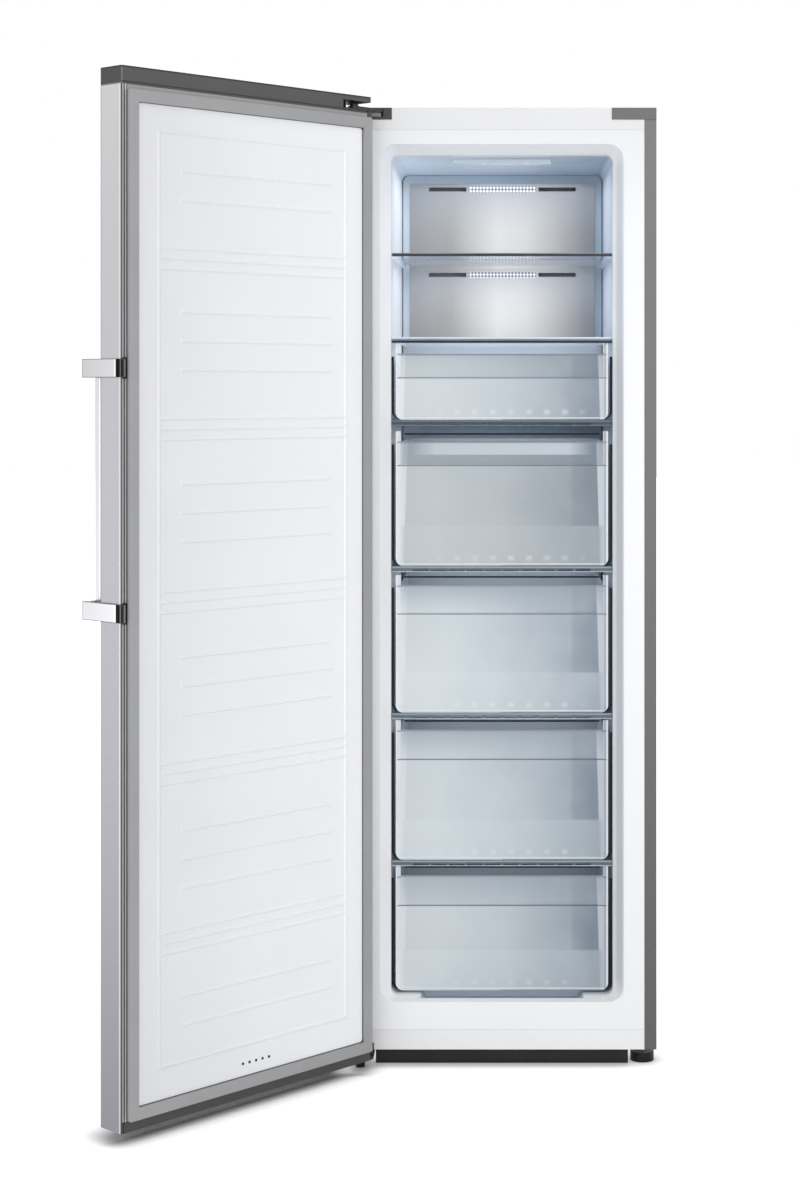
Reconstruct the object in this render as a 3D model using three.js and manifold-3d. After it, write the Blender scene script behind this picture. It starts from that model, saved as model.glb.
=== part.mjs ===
// An upright no-frost freezer standing with its door open.
// Millimetres, +Z up, the front faces -Y and the door is hinged on the left.
// Inside this file x = 0 is the cabinet's middle, y = 0 its front plane and z = 0 the floor.
import * as THREE from "three";
import { mergeVertices } from "three/addons/utils/BufferGeometryUtils.js";
import Module from "manifold-3d";

// ---------------------------------------------------------------- driving dimensions
const FIT_GAP = 0.3; // between pieces that touch
const SHEET = 1; // steel sheet
const OVERRUN = 1; // how far a cutting tool reaches past what it cuts

// case
const CASE_WIDTH = 595;
const CASE_DEPTH = 578;
const CASE_TOP = 1847;
const CASE_BOTTOM = 35; // underside of the case over the floor
const SIDE_FLANGE = 23; // front return of each side sheet
const RAIL_THICKNESS = 1.5;
const TOP_RAIL_HEIGHT = 42.5;
const BOTTOM_RAIL_HEIGHT = 38.5;
const COVER_WIDTH = 85.5; // dark covers on both top corners
const COVER_HEIGHT = 22.5;
const COVER_DEPTH = 34;
const COVER_WALL = 2.5;
const COVER_PROUD = 1.5;
const BASE_PLATE = 2;
const half = CASE_WIDTH / 2;

// cavity and inner liner
const SIDE_WALL = 82.7; // foamed walls round the cavity
const ROOF_WALL = 88.6;
const FLOOR_WALL = 98;
const BACK_WALL = 63;
const LINER_WALL = 1.5;
const CAVITY_WIDTH = CASE_WIDTH - 2 * SIDE_WALL;
const CAVITY_TOP = CASE_TOP - ROOF_WALL;
const CAVITY_FLOOR = CASE_BOTTOM + FLOOR_WALL;
const CAVITY_DEPTH = CASE_DEPTH - BACK_WALL;
const CAVITY_DRAFT = 3; // each side wall leans in by this much at the back
const CAVITY_CORNER = 14;
const LIP_DEPTH = 28; // the bevel round the mouth
const LIP_SIDE = 19.5;
const LIP_TOP = 18.9;
const LIP_FLOOR = 6.6;
const LIP_CORNER = 29;
const CORNER_STEPS = 5;
const TROUGH_HALF = 148; // a shallow trough in the floor under the lowest drawer
const TROUGH_SLANT = 10;
const TROUGH_FRONT = 15;
const TROUGH_LENGTH = 60;
const TROUGH_DROP = 15;

// machine room, and the floor's step over it
const ROOM_DEPTH = 233;
const ROOM_HEIGHT = 215;
const STEP_WALL = 50;
const ROOM_FRONT = CASE_DEPTH - ROOM_DEPTH;
const ROOM_TOP = CASE_BOTTOM + ROOM_HEIGHT;
const STEP_FRONT = ROOM_FRONT - STEP_WALL;
const STEP_TOP = ROOM_TOP + STEP_WALL;

// air duct at the back
const DUCT_DEPTH = 64;
const COVER_PLATE_FRONT = CAVITY_DEPTH - DUCT_DEPTH;
const COVER_PLATE_WALL = 3;
const COVER_PLATE_SIDE_GAP = 1.5;
const AIR_SLOT_WIDTH = 79;
const AIR_SLOT_HEIGHT = 8.5;
const AIR_SLOT_OFFSET = 116;

// drawers, from the top one down: the front's height, the free height from its top to the shelf
// above, and the drop from its top to the crease across it
const DRAWERS = [
  { height: 148.7, above: 12.1, line: 65 },
  { height: 262.1, above: 21.4, line: 65 },
  { height: 267.6, above: 17.2, line: 74 },
  { height: 271.7, above: 13.9, line: 75 },
  { height: 241.4, above: 11.8, line: 75 },
];
const FLOOR_CLEARANCE = 4.4; // lowest drawer's front over the cavity floor
const FRONT_SIDE_GAP = 8.5; // front to the cavity's side wall
const FRONT_FACE = 45;
const FRONT_WALL = 2.5;
const FRONT_RIM = 2; // the frame stands this much proud of the face
const FRONT_CORNER = 15;
const EAR_WIDTH = 10;
const EAR_DEPTH = 12.2;
const EAR_CORNER = 2;
const GRIP_DIP = 20; // the front is this much lower between its ears
const GRIP_STEP = 3;
const GRIP_TILT = 9;
const TUB_SIDE_GAP = 14.8;
const TUB_WALL = 2.5;
const TUB_BACK_GAP = 21; // to the duct cover
const LOW_TUB_BACK_GAP = 10; // to the floor's step
const TUB_CORNER = 12;
const TUB_RIM_DROP = 22; // below the top of the front
const SKID_INSET = 10; // of the lowest tub's skids from its sides
const SKID_WIDTH = 30;

// shelves
const GLASS_THICKNESS = 4;
const GLASS_SIDE_GAP = 2.3; // glass to the liner at the back
const GLASS_BACK_GAP = 11; // glass to the duct cover
const TRIM_FRONT = 40;
const TRIM_DEPTH = 14;
const TRIM_HEIGHT = 11;
const TRIM_SIDE_GAP = 1.2;
const TRIM_GRIP = 7; // how far the trim reaches under the glass
const TOP_TRIM_HEIGHT = 6;
const TOP_SHELF_SHARE = 0.46462; // where the top shelf divides the open space over the drawers
const SLOT_PITCH = 35;
const SLOT_WIDTH = 29;
const SLOT_HEIGHT = 4.5;
const SLOT_COUNT = 10;
const LEDGE_REACH = 12;
const LEDGE_HEIGHT = 6;
const LEDGE_GAP = 12; // behind the trim

// levels that follow: each drawer stands on the shelf under it
const drawerLevels = [];
let floorLevel = CAVITY_FLOOR + FLOOR_CLEARANCE;
for (const { height, above, line } of DRAWERS.toReversed()) {
  const top = floorLevel + height;
  drawerLevels.unshift({ bottom: floorLevel, top, line });
  floorLevel = top + above + FIT_GAP;
}
const lowerShelfLevel = drawerLevels[0].top + DRAWERS[0].above;
const topShelfLevel = lowerShelfLevel + (CAVITY_TOP - lowerShelfLevel) * TOP_SHELF_SHARE;

// steel panel on the duct, over the two open compartments
const PANEL_SIDE_GAP = 18.8;
const PANEL_TOP_GAP = 17.7;
const PANEL_LIFT = 5.5; // over the lower shelf
const PANEL_WALL = 1.5;
const TOP_SLOT_DROP = 29.4; // air slots under the roof, under the top shelf and behind the drawers
const SHELF_SLOT_DROP = 22;
const DRAWER_SLOT_DROP = 44;

// cooling parts
const EVAPORATOR_SIDE_GAP = 44.8;
const EVAPORATOR_BOTTOM = 700;
const EVAPORATOR_HEIGHT = 300;
const EVAPORATOR_DEPTH = 44;
const FIN_COUNT = 16;
const FIN_DEPTH = 12;
const FIN_THICKNESS = 3;
const FAN_RISE = 130; // fan's centre over the evaporator
const FAN_RADIUS = 55;
const FAN_MOUTH_RADIUS = 44;
const FAN_HUB_RADIUS = 16;
const FAN_DEPTH = 16;
const FAN_RUNNING_GAP = 1.2;
const FAN_BLADES = 7;
const FAN_BLADE_WALL = 2;
const FAN_BLADE_CHORD = 12;
const FAN_BLADE_ROOT = 4;
const MOTOR_RADIUS = 26;
const MOTOR_DEPTH = 24;
const SHAFT_RADIUS = 3;
const LAMP_WIDTH = 192;
const LAMP_FRONT = 98;
const LAMP_DEPTH = 30;
const LAMP_HEIGHT = 9;
const LAMP_WALL = 1.8;
const COMPRESSOR_X = 30;
const COMPRESSOR_BACK = 113; // its axis from the back of the case
const COMPRESSOR_Y = CASE_DEPTH - COMPRESSOR_BACK;
const COMPRESSOR_RADIUS = 72;
const COMPRESSOR_HEIGHT = 165;
const CRADLE_WIDTH = 190;
const CRADLE_DEPTH = 150;
const CRADLE_HEIGHT = 12;
const CRADLE_WALL = 3;
const CRADLE_LEG_RADIUS = 10;
const CRADLE_LEG_INSET = 15;
const TRAY_HEIGHT = 16;
const TRAY_WALL = 1.8;
const COIL_TUBE_RADIUS = 3;
const COIL_SIDE_GAP = 27.5;
const COIL_CRADLE_GAP = 15;
const COIL_FRONT_GAP = 40;
const COIL_RUNS = 6;
const COIL_PITCH = 28;
const GRILLE_SLOTS = 6;
const GRILLE_SLOT_WIDTH = 140;
const GRILLE_SLOT_HEIGHT = 8;
const GRILLE_SLOT_GAP = 40;
const GRILLE_SIDE = 37.5;
const GRILLE_EDGE = 30;
const BOX_SIDE_GAP = 22.5;
const BOX_WIDTH = 110;
const BOX_HEIGHT = 110;
const BOX_DEPTH = 75;
const INLET_INSET = 50; // inlet's middle from the control box's side
const INLET_Z = 90;
const INLET_WIDTH = 30;
const INLET_HEIGHT = 24;
const INLET_PROUD = 8;
const INLET_WALL = 3;
const INLET_DEPTH = 14;
const INLET_PIN_PITCH = 7;
const INLET_PIN = { width: 2, height: 4, low: -2, high: 3 };

// door, in its closed place; it is turned open about its hinge axis below
const DOOR_WIDTH = CASE_WIDTH;
const DOOR_THICKNESS = 60.3;
const DOOR_BOTTOM = 30.4;
const DOOR_RISE = 13.3; // over the case's top
const DOOR_TOP = CASE_TOP + DOOR_RISE;
const DOOR_GAP = 12; // door's inner face to the cabinet's front plane
const DOOR_CORNER = 4;
const DOOR_OPEN_DEGREES = 132.5;
const HINGE_INSET = 16; // hinge axis from the door's side edge
const HINGE_DEPTH = 31.8; // hinge axis from the door's inner face
const TOP_CAP_HEIGHT = 31.3;
const BOTTOM_CAP_HEIGHT = 19.5;
const SKIN_RETURN = 12;
const FIELD_INSET = 31; // raised field of the door liner, from the door's sides
const FIELD_TOP_INSET = 62.3;
const FIELD_BOTTOM_INSET = 42.6;
const FIELD_TOP = DOOR_TOP - FIELD_TOP_INSET;
const FIELD_BOTTOM = DOOR_BOTTOM + FIELD_BOTTOM_INSET;
const FIELD_PROUD = 6;
const FIELD_CORNER = 6;
const GASKET_INSET = 8.5;
const GASKET_WIDTH = 21;
const GASKET_TOP_INSET = 40.3;
const GASKET_BOTTOM_INSET = 20.1;
const GASKET_DEPTH = 11;
const GASKET_CORNER = 4;
const GASKET_FOOT_DEPTH = 3;
const GASKET_WAIST_DEPTH = 7;
const BELLOWS_WIDTH = 9;
const BELLOWS_FOOT = 4;
const NOTCH_WIDTH = 74; // room for the hinge arm in the top cap
const NOTCH_FLOOR = 2;
const NOTCH_HEIGHT = 19;
const NOTCH_THROUGH = 32; // here the notch runs through to the outer face
const CAP_FRONT_WALL = 8;

// ribs pressed into the door liner; their levels divide the frame from its top down
const RIB_WIDTH = 10;
const RIB_PROUD = 1.8;
const RIB_SLOPE = 3.6;
const FRAME_RIB_LEFT = 74; // from the hinge side
const FRAME_RIB_RIGHT = DOOR_WIDTH - 77;
const FRAME_RIB_TOP = FIELD_TOP - 45;
const FRAME_RIB_BOTTOM = FIELD_BOTTOM + 56;
const SHORT_RIB_LEFT = FRAME_RIB_LEFT + 34;
const SHORT_RIB_RIGHT = FRAME_RIB_RIGHT - 47;
const SHORT_RIB_PITCH = 50.5;
const SHORT_RIB_PANELS = [
  { share: 0.05634, count: 2 },
  { share: 0.22352, count: 3 },
  { share: 0.40887, count: 3 },
  { share: 0.59544, count: 3 },
  { share: 0.78202, count: 3 },
  { share: 0.9452, count: 2 },
];
const BAND_SHARES = [0.13516, 0.31817, 0.50382, 0.68732, 0.86866];
const BAND_RIBS = 3;
const BAND_PITCH = 18;

// handle
const BRACKET_HEIGHT = 32;
const BRACKET_LEVELS = { upper: 1341.5, lower: 920.5 };
const BRACKET_WALL = 4;
const BRACKET_REACH = 104; // outer end from the door's inner face
const BRACKET_RETURN = 10;
const BRACKET_RETURN_PROUD = 4.3;
const BAR_OUTER_EDGE = 21; // bar's near edge in from the door's side
const BAR_WIDTH = 22;
const BAR_DEPTH = 16;
const BAR_CORNER = 5;
const BAR_TENON = 6; // the bar's narrower ends reach into the brackets
const BAR_TENON_WALL = 3;
const TENON_CORNER = 2;

// hinges
const ARM_DROP = 8.5; // underside of the top hinge arm under the case's top
const ARM_LEVEL = CASE_TOP - ARM_DROP;
const ARM_THICKNESS = 5.7;
const ARM_ROOT_LEFT = -half + 6.5;
const ARM_ROOT_RIGHT = -half + 69.5;
const ARM_ROOT_DEPTH = 26;
const ARM_EYE_RADIUS = 12;
const ARM_FOOTING_INSET = 5;
const PIN_RADIUS = 5;
const PIN_LENGTH = 19;
const PIN_CLEARANCE = 0.4;
const PIN_HEAD_RADIUS = 8;
const PIN_HEAD_HEIGHT = 4;
const BUSH_PLATE_INSET = 4;
const BUSH_PLATE_WALL = 5.5;
const BUSH_PLATE_LENGTH = 64;
const BUSH_PLATE_DEPTH = 41;
const BUSH_PLATE_OFFSET = 22; // its edge from the hinge axis, towards the inner face
const SCREW_OFFSET = 34;
const SCREW_RADIUS = 5;
const SCREW_HEIGHT = 1;
const LOW_ARM_LEVEL = 22;
const LOW_ARM_THICKNESS = 5;
const LOW_ARM_LEFT = -half + 1.5;
const LOW_ARM_RIGHT = -half + 51.5;
const LOW_ARM_SHOULDER = 20;
const LOW_ARM_BACK = 60;
const LOW_SEAT_DEPTH = 12;
const LOW_PIN_GAP = 3.9; // its end under the top of the cap's hole
const LOW_PLATE_TOP = 48;
const LOW_PLATE_WALL = 3.5;

// feet and rollers
const FOOT_DISC = 18;
const STUD_RADIUS = 5;
const STUD_CLEARANCE = 0.4;
const FOOT_INSET = 24.5;
const LEFT_FOOT = { x: -half + FOOT_INSET, y: 10, radius: 9 };
const RIGHT_FOOT = { x: half - FOOT_INSET, y: 58, radius: 23 };
const NUT_RADIUS = 11;
const NUT_HEIGHT = 8;
const ROLLER_RADIUS = 17;
const ROLLER_WIDTH = 18;
const ROLLER_SIDE = 47.5; // roller's middle from the case's side and back
const ROLLER_BACK = 43;
const AXLE_RADIUS = 4;
const AXLE_CLEARANCE = 0.3;
const AXLE_END_PLAY = 1;
const EAR_WALL = 2.5;
const EAR_LENGTH = 30;
const PLINTH_SIDE_GAP = 53.5;
const PLINTH_FRONT = 25;
const PLINTH_WALL = 2.5;
const PLINTH_BOTTOM = 2;
const PLINTH_LIP = 12;

// ---------------------------------------------------------------- solids
const wasm = await Module();
wasm.setup();

const ROUND_SIDES = 24;

function toSolid(geometry) {
  const plain = geometry.index ? geometry.toNonIndexed() : geometry.clone();
  plain.deleteAttribute("normal");
  plain.deleteAttribute("uv");
  const merged = mergeVertices(plain, 1e-4);
  const triVerts = new Uint32Array(merged.index.array);
  const vertProperties = merged.attributes.position.array;
  return new wasm.Manifold(new wasm.Mesh({ numProp: 3, vertProperties, triVerts }));
}

function toGeometry(solid) {
  const mesh = solid.getMesh();
  const geometry = new THREE.BufferGeometry();
  const position = new THREE.BufferAttribute(mesh.vertProperties, mesh.numProp);
  geometry.setAttribute("position", position);
  geometry.setIndex(new THREE.BufferAttribute(mesh.triVerts, 1));
  geometry.computeVertexNormals();
  return geometry;
}

const join = (first, ...others) => others.reduce((sum, next) => sum.add(next), first);
const cut = (first, ...tools) => tools.reduce((rest, tool) => rest.subtract(tool), first);

function block(x0, x1, y0, y1, z0, z1) {
  const geometry = new THREE.BoxGeometry(x1 - x0, y1 - y0, z1 - z0);
  geometry.translate((x0 + x1) / 2, (y0 + y1) / 2, (z0 + z1) / 2);
  return toSolid(geometry);
}

// A round bar along an axis; centre gives its other two coordinates.
function rod(axis, radius, from, to, centre, sides = ROUND_SIDES) {
  const geometry = new THREE.CylinderGeometry(radius, radius, to - from, sides);
  if (axis === "x") geometry.rotateZ(Math.PI / 2);
  if (axis === "z") geometry.rotateX(Math.PI / 2);
  const place = { ...centre, [axis]: (from + to) / 2 };
  geometry.translate(place.x, place.y, place.z);
  return toSolid(geometry);
}

const AXIS_X = new THREE.Vector3(1, 0, 0);
const AXIS_Y = new THREE.Vector3(0, 1, 0);
const AXIS_Z = new THREE.Vector3(0, 0, 1);
const PLANES = {
  x: new THREE.Matrix4().makeBasis(AXIS_Y, AXIS_Z, AXIS_X),
  y: new THREE.Matrix4().makeBasis(AXIS_X, AXIS_Z, AXIS_Y.clone().negate()),
  z: new THREE.Matrix4(),
};

// A flat outline drawn out along an axis: (y, z) for x, (x, z) for y and (x, y) for z.
function extrude(axis, shape, from, to, curveSegments = CORNER_STEPS) {
  const depth = to - from;
  const geometry = new THREE.ExtrudeGeometry(shape, { depth, bevelEnabled: false, curveSegments });
  geometry.applyMatrix4(PLANES[axis]);
  if (axis === "x") geometry.translate(from, 0, 0);
  if (axis === "y") geometry.translate(0, to, 0);
  if (axis === "z") geometry.translate(0, 0, from);
  return toSolid(geometry);
}

function roundedRect(a0, a1, b0, b1, r) {
  const shape = new THREE.Shape();
  shape.moveTo(a0 + r, b0);
  shape.lineTo(a1 - r, b0);
  shape.absarc(a1 - r, b0 + r, r, -Math.PI / 2, 0, false);
  shape.lineTo(a1, b1 - r);
  shape.absarc(a1 - r, b1 - r, r, 0, Math.PI / 2, false);
  shape.lineTo(a0 + r, b1);
  shape.absarc(a0 + r, b1 - r, r, Math.PI / 2, Math.PI, false);
  shape.lineTo(a0, b0 + r);
  shape.absarc(a0 + r, b0 + r, r, Math.PI, 1.5 * Math.PI, false);
  return shape;
}

function polygon(points) {
  return new THREE.Shape(points.map(([a, b]) => new THREE.Vector2(a, b)));
}

// The points of a rounded rectangle at depth y, counter-clockwise as seen from the front.
function ringPoints({ y, half, z0, z1, r }) {
  const points = [];
  const middle = (z0 + z1) / 2;
  const tall = (z1 - z0) / 2;
  for (let corner = 0; corner < 4; corner++) {
    const sx = corner === 0 || corner === 3 ? 1 : -1;
    const sz = corner < 2 ? 1 : -1;
    for (let step = 0; step <= CORNER_STEPS; step++) {
      const angle = ((corner + step / CORNER_STEPS) * Math.PI) / 2;
      const x = sx * (half - r) + r * Math.cos(angle);
      const z = middle + sz * (tall - r) + r * Math.sin(angle);
      points.push([x, y, z]);
    }
  }
  return points;
}

// A closed solid through rounded rectangles, the first one nearest the front.
function loft(rings) {
  const loops = rings.map(ringPoints);
  const count = loops[0].length;
  const corners = [];
  for (let i = 0; i + 1 < loops.length; i++)
    for (let j = 0; j < count; j++) {
      const next = (j + 1) % count;
      const [a, b] = [loops[i][j], loops[i][next]];
      const [c, d] = [loops[i + 1][next], loops[i + 1][j]];
      corners.push(a, d, c, a, c, b);
    }
  const front = loops[0];
  const back = loops.at(-1);
  for (let j = 1; j + 1 < count; j++)
    corners.push(front[0], front[j], front[j + 1], back[0], back[j + 1], back[j]);
  const geometry = new THREE.BufferGeometry();
  const position = new THREE.Float32BufferAttribute(corners.flat(), 3);
  return toSolid(geometry.setAttribute("position", position));
}

// ---------------------------------------------------------------- materials and nodes
function finish(color, roughness, metalness = 0, opacity = 1) {
  const transparent = opacity < 1;
  return new THREE.MeshStandardMaterial({ color, roughness, metalness, opacity, transparent });
}

const finishes = {
  greyPaint: () => finish(0x868686, 0.45, 0.3),
  whitePaint: () => finish(0xececec, 0.4),
  liner: () => finish(0xeceef2, 0.35),
  foam: () => finish(0xe6d9a8, 0.95),
  zinc: () => finish(0x9a9c9e, 0.45, 0.9),
  darkPlastic: () => finish(0x484848, 0.5),
  blackPlastic: () => finish(0x232323, 0.55),
  blackSteel: () => finish(0x1c1c1e, 0.4, 0.4),
  stainless: () => finish(0xb9b8bb, 0.32, 1),
  chrome: () => finish(0xdcdcde, 0.12, 1),
  glass: () => finish(0xbfd0d6, 0.08, 0, 0.35),
  shelfTrim: () => finish(0x9fb2bd, 0.25, 0, 0.8),
  clearPlastic: () => finish(0xc6d3de, 0.2, 0, 0.55),
  gasket: () => finish(0xa2a2a2, 0.7),
  whitePlastic: () => finish(0xe4e8ee, 0.4),
  lens: () => finish(0xf4f8ff, 0.2, 0, 0.7),
  circuit: () => finish(0x2f5a3a, 0.6),
  aluminium: () => finish(0xc4c7ca, 0.35, 1),
  copper: () => finish(0xb0714a, 0.35, 1),
  blackPaint: () => finish(0x1a1a1c, 0.5, 0.2),
};

const cabinet = new THREE.Group();
const door = new THREE.Group();

function place(group, name, solid, kind) {
  const mesh = new THREE.Mesh(toGeometry(solid), finishes[kind]());
  mesh.name = name;
  group.add(mesh);
}

// ---------------------------------------------------------------- cabinet shell
const inside = half - SHEET; // inner faces of the side sheets
const frameHalf = half - SIDE_FLANGE - FIT_GAP; // the white front between the side flanges
const coverInner = half - COVER_WIDTH;
const coverBottom = CASE_TOP - COVER_HEIGHT;
const baseTop = CASE_BOTTOM + BASE_PLATE;
const bodyBottom = baseTop + FIT_GAP; // what stands on the base plate
const cavityHalf = CAVITY_WIDTH / 2;
const cavityBackHalf = cavityHalf - CAVITY_DRAFT;
const backSheetFront = CASE_DEPTH - SHEET;

const coverRoom = (side) => {
  const [x0, x1] = [coverInner - FIT_GAP, half + OVERRUN].map((x) => side * x).sort((a, b) => a - b);
  return block(x0, x1, -COVER_PROUD - OVERRUN, COVER_DEPTH + FIT_GAP,
    coverBottom - FIT_GAP, CASE_TOP + OVERRUN);
};

function outerCase() {
  const outside = block(-half, half, 0, backSheetFront - FIT_GAP, CASE_BOTTOM, CASE_TOP);
  const low = CASE_BOTTOM - OVERRUN;
  const room = block(-inside, inside, SHEET, CASE_DEPTH + OVERRUN, low, CASE_TOP - SHEET);
  const flange = half - SIDE_FLANGE;
  const mouth = block(-flange, flange, -OVERRUN, SHEET + OVERRUN, low, CASE_TOP + OVERRUN);
  return cut(outside, room, mouth, coverRoom(-1), coverRoom(1));
}

function backPanel() {
  const bottom = ROOM_TOP + FIT_GAP;
  return block(-half, half, backSheetFront, CASE_DEPTH, bottom, CASE_TOP);
}

const cavityRings = (grow) => {
  const back = CAVITY_DEPTH + grow;
  const front = (y) => ({
    y,
    half: cavityHalf + LIP_SIDE + grow,
    z0: CAVITY_FLOOR - LIP_FLOOR - grow,
    z1: CAVITY_TOP + LIP_TOP + grow,
    r: LIP_CORNER + grow,
  });
  const deep = (y, draft) => ({
    y,
    half: cavityHalf - draft + grow,
    z0: CAVITY_FLOOR - grow,
    z1: CAVITY_TOP + grow,
    r: CAVITY_CORNER + grow,
  });
  return [front(-OVERRUN), front(0), deep(LIP_DEPTH, 0), deep(back, CAVITY_DRAFT)];
};

// The step over the machine room, moved out by grow on its two faces.
const stepBlock = (grow) =>
  block(-half, half, STEP_FRONT + grow, CAVITY_DEPTH + LINER_WALL + FIT_GAP + OVERRUN,
    CAVITY_FLOOR - LINER_WALL - FIT_GAP - OVERRUN, STEP_TOP - grow);

// The trough in the floor under the lowest drawer, grown on its sides and bottom.
function trough(grow) {
  const [top, bottom] = [CAVITY_FLOOR + OVERRUN, CAVITY_FLOOR - TROUGH_DROP - grow];
  const [wide, narrow] = [TROUGH_HALF + TROUGH_SLANT + grow, TROUGH_HALF + grow];
  const outline = polygon([[-wide, top], [-narrow, bottom], [narrow, bottom], [wide, top]]);
  return extrude("y", outline, TROUGH_FRONT - grow, TROUGH_FRONT + TROUGH_LENGTH + grow);
}

// What the liner encloses, grown by the thickness that its outer side needs.
const cavitySpace = (grow) => join(cut(loft(cavityRings(grow)), stepBlock(grow)), trough(grow));

const linerTop = CASE_TOP - TOP_RAIL_HEIGHT - FIT_GAP;
const linerBottom = CASE_BOTTOM + BOTTOM_RAIL_HEIGHT + FIT_GAP;

const shelfLevels = [
  topShelfLevel,
  lowerShelfLevel,
  ...drawerLevels.slice(0, -1).map((drawer) => drawer.bottom - FIT_GAP),
];
const trimBack = TRIM_FRONT + TRIM_DEPTH;
const glassBack = COVER_PLATE_FRONT - GLASS_BACK_GAP;

function ledge(side, level) {
  const top = level - GLASS_THICKNESS - FIT_GAP;
  const ends = [cavityHalf - LEDGE_REACH, cavityHalf + OVERRUN].map((x) => side * x);
  return block(Math.min(...ends), Math.max(...ends), trimBack + LEDGE_GAP, glassBack,
    top - LEDGE_HEIGHT, top);
}

function innerLiner() {
  const flange = block(-frameHalf, frameHalf, 0, LINER_WALL, linerBottom, linerTop);
  const ahead = block(-half, half, -2 * OVERRUN, 0, 0, CASE_TOP);
  const walls = cut(join(cavitySpace(LINER_WALL), flange), cavitySpace(0), ahead);
  const limit = loft(cavityRings(LINER_WALL / 2));
  const ledges = shelfLevels.flatMap((level) => [ledge(-1, level), ledge(1, level)]);
  return join(walls, ...ledges.map((piece) => piece.intersect(limit)));
}

function insulation() {
  const outer = inside - FIT_GAP;
  const front = LINER_WALL + FIT_GAP;
  const back = backSheetFront - FIT_GAP;
  const top = CASE_TOP - SHEET - FIT_GAP;
  const mass = block(-outer, outer, front, back, bodyBottom, top);
  const liner = cavitySpace(LINER_WALL + FIT_GAP);
  const roomFront = ROOM_FRONT - FIT_GAP;
  const room = block(-half, half, roomFront, CASE_DEPTH, CASE_BOTTOM, ROOM_TOP + FIT_GAP);
  return cut(mass, liner, room, coverRoom(-1), coverRoom(1));
}

function rail(bottom, top) {
  return block(-frameHalf, frameHalf, 0, RAIL_THICKNESS, bottom, top);
}

const topRail = () =>
  cut(rail(CASE_TOP - TOP_RAIL_HEIGHT, CASE_TOP), coverRoom(-1), coverRoom(1));
const bottomRail = () => rail(CASE_BOTTOM, CASE_BOTTOM + BOTTOM_RAIL_HEIGHT);

// Both corner covers are open at the back; the left one lets the hinge arm through.
function cornerCover(side) {
  const [x0, x1] = side < 0 ? [-half, -coverInner] : [coverInner, half];
  const body = block(x0, x1, -COVER_PROUD, COVER_DEPTH, coverBottom, CASE_TOP);
  const w = COVER_WALL;
  const hollow = block(x0 + w, x1 - w, w - COVER_PROUD, COVER_DEPTH + OVERRUN,
    coverBottom + w, CASE_TOP - w);
  return body.subtract(hollow);
}

function hingeCover() {
  const [x0, x1] = [ARM_ROOT_LEFT - FIT_GAP, ARM_ROOT_RIGHT + FIT_GAP];
  const mouthTop = ARM_LEVEL + ARM_THICKNESS + FIT_GAP;
  const front = -COVER_PROUD - OVERRUN;
  const mouth = block(x0, x1, front, COVER_WALL, coverBottom + 2 * COVER_WALL, mouthTop);
  const arm = block(x0, x1, front, ARM_ROOT_DEPTH + FIT_GAP, ARM_LEVEL - FIT_GAP, mouthTop);
  return cut(cornerCover(-1), mouth, arm);
}

// ---------------------------------------------------------------- base, feet, plinth
const footNut = (foot) =>
  rod("z", NUT_RADIUS, CASE_BOTTOM - NUT_HEIGHT, CASE_BOTTOM + OVERRUN, foot, 6);
const studRoom = (foot) =>
  rod("z", STUD_RADIUS + STUD_CLEARANCE, 0, bodyBottom + OVERRUN, foot, ROUND_SIDES);
const rollerX = half - ROLLER_SIDE;
const rollerAxis = { y: CASE_DEPTH - ROLLER_BACK, z: ROLLER_RADIUS };

// The base sheet turns up into the machine room's front wall and roof, and carries the
// compressor's cradle, the nut of the right foot and the ears that hold the rollers.
function basePlate() {
  const side = inside - FIT_GAP;
  const back = backSheetFront - FIT_GAP;
  const floor = block(-side, side, RAIL_THICKNESS + FIT_GAP, back, CASE_BOTTOM, baseTop);
  const wall = block(-side, side, ROOM_FRONT, ROOM_FRONT + SHEET, CASE_BOTTOM, ROOM_TOP);
  const roof = block(-side, side, ROOM_FRONT, back, ROOM_TOP - SHEET, ROOM_TOP);
  const ears = [-1, 1].flatMap((hand) => [-1, 1].map((edge) => rollerEar(hand, edge)));
  const axles = [-1, 1].map((hand) =>
    rod("x", AXLE_RADIUS + AXLE_CLEARANCE, hand * rollerX - EAR_LENGTH,
      hand * rollerX + EAR_LENGTH, rollerAxis));
  const body = join(floor, wall, roof, compressorCradle(), footNut(RIGHT_FOOT), ...ears);
  return cut(body, ...axles, studRoom(LEFT_FOOT), studRoom(RIGHT_FOOT));
}

function rollerEar(hand, edge) {
  const x = hand * rollerX + edge * (ROLLER_WIDTH / 2 + AXLE_END_PLAY + EAR_WALL / 2);
  const [y0, y1] = [rollerAxis.y - EAR_LENGTH / 2, rollerAxis.y + EAR_LENGTH / 2];
  const low = ROLLER_RADIUS - AXLE_RADIUS - EAR_WALL;
  return block(x - EAR_WALL / 2, x + EAR_WALL / 2, y0, y1, low, CASE_BOTTOM + OVERRUN);
}

function roller(side) {
  const x = side * rollerX;
  const wide = ROLLER_WIDTH / 2;
  const wheel = rod("x", ROLLER_RADIUS, x - wide, x + wide, rollerAxis, 32);
  const reach = wide + AXLE_END_PLAY + EAR_WALL;
  return join(wheel, rod("x", AXLE_RADIUS, x - reach, x + reach, rollerAxis));
}

function foot(centre) {
  const disc = rod("z", centre.radius, 0, FOOT_DISC, centre, 32);
  return join(disc, rod("z", STUD_RADIUS, FOOT_DISC - OVERRUN, baseTop, centre));
}

function plinth() {
  const side = half - PLINTH_SIDE_GAP;
  const top = CASE_BOTTOM - FIT_GAP;
  const back = PLINTH_FRONT + PLINTH_WALL;
  const face = block(-side, side, PLINTH_FRONT, back, PLINTH_BOTTOM, top);
  return join(face, block(-side, side, PLINTH_FRONT, back + PLINTH_LIP, top - PLINTH_WALL, top));
}

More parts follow.
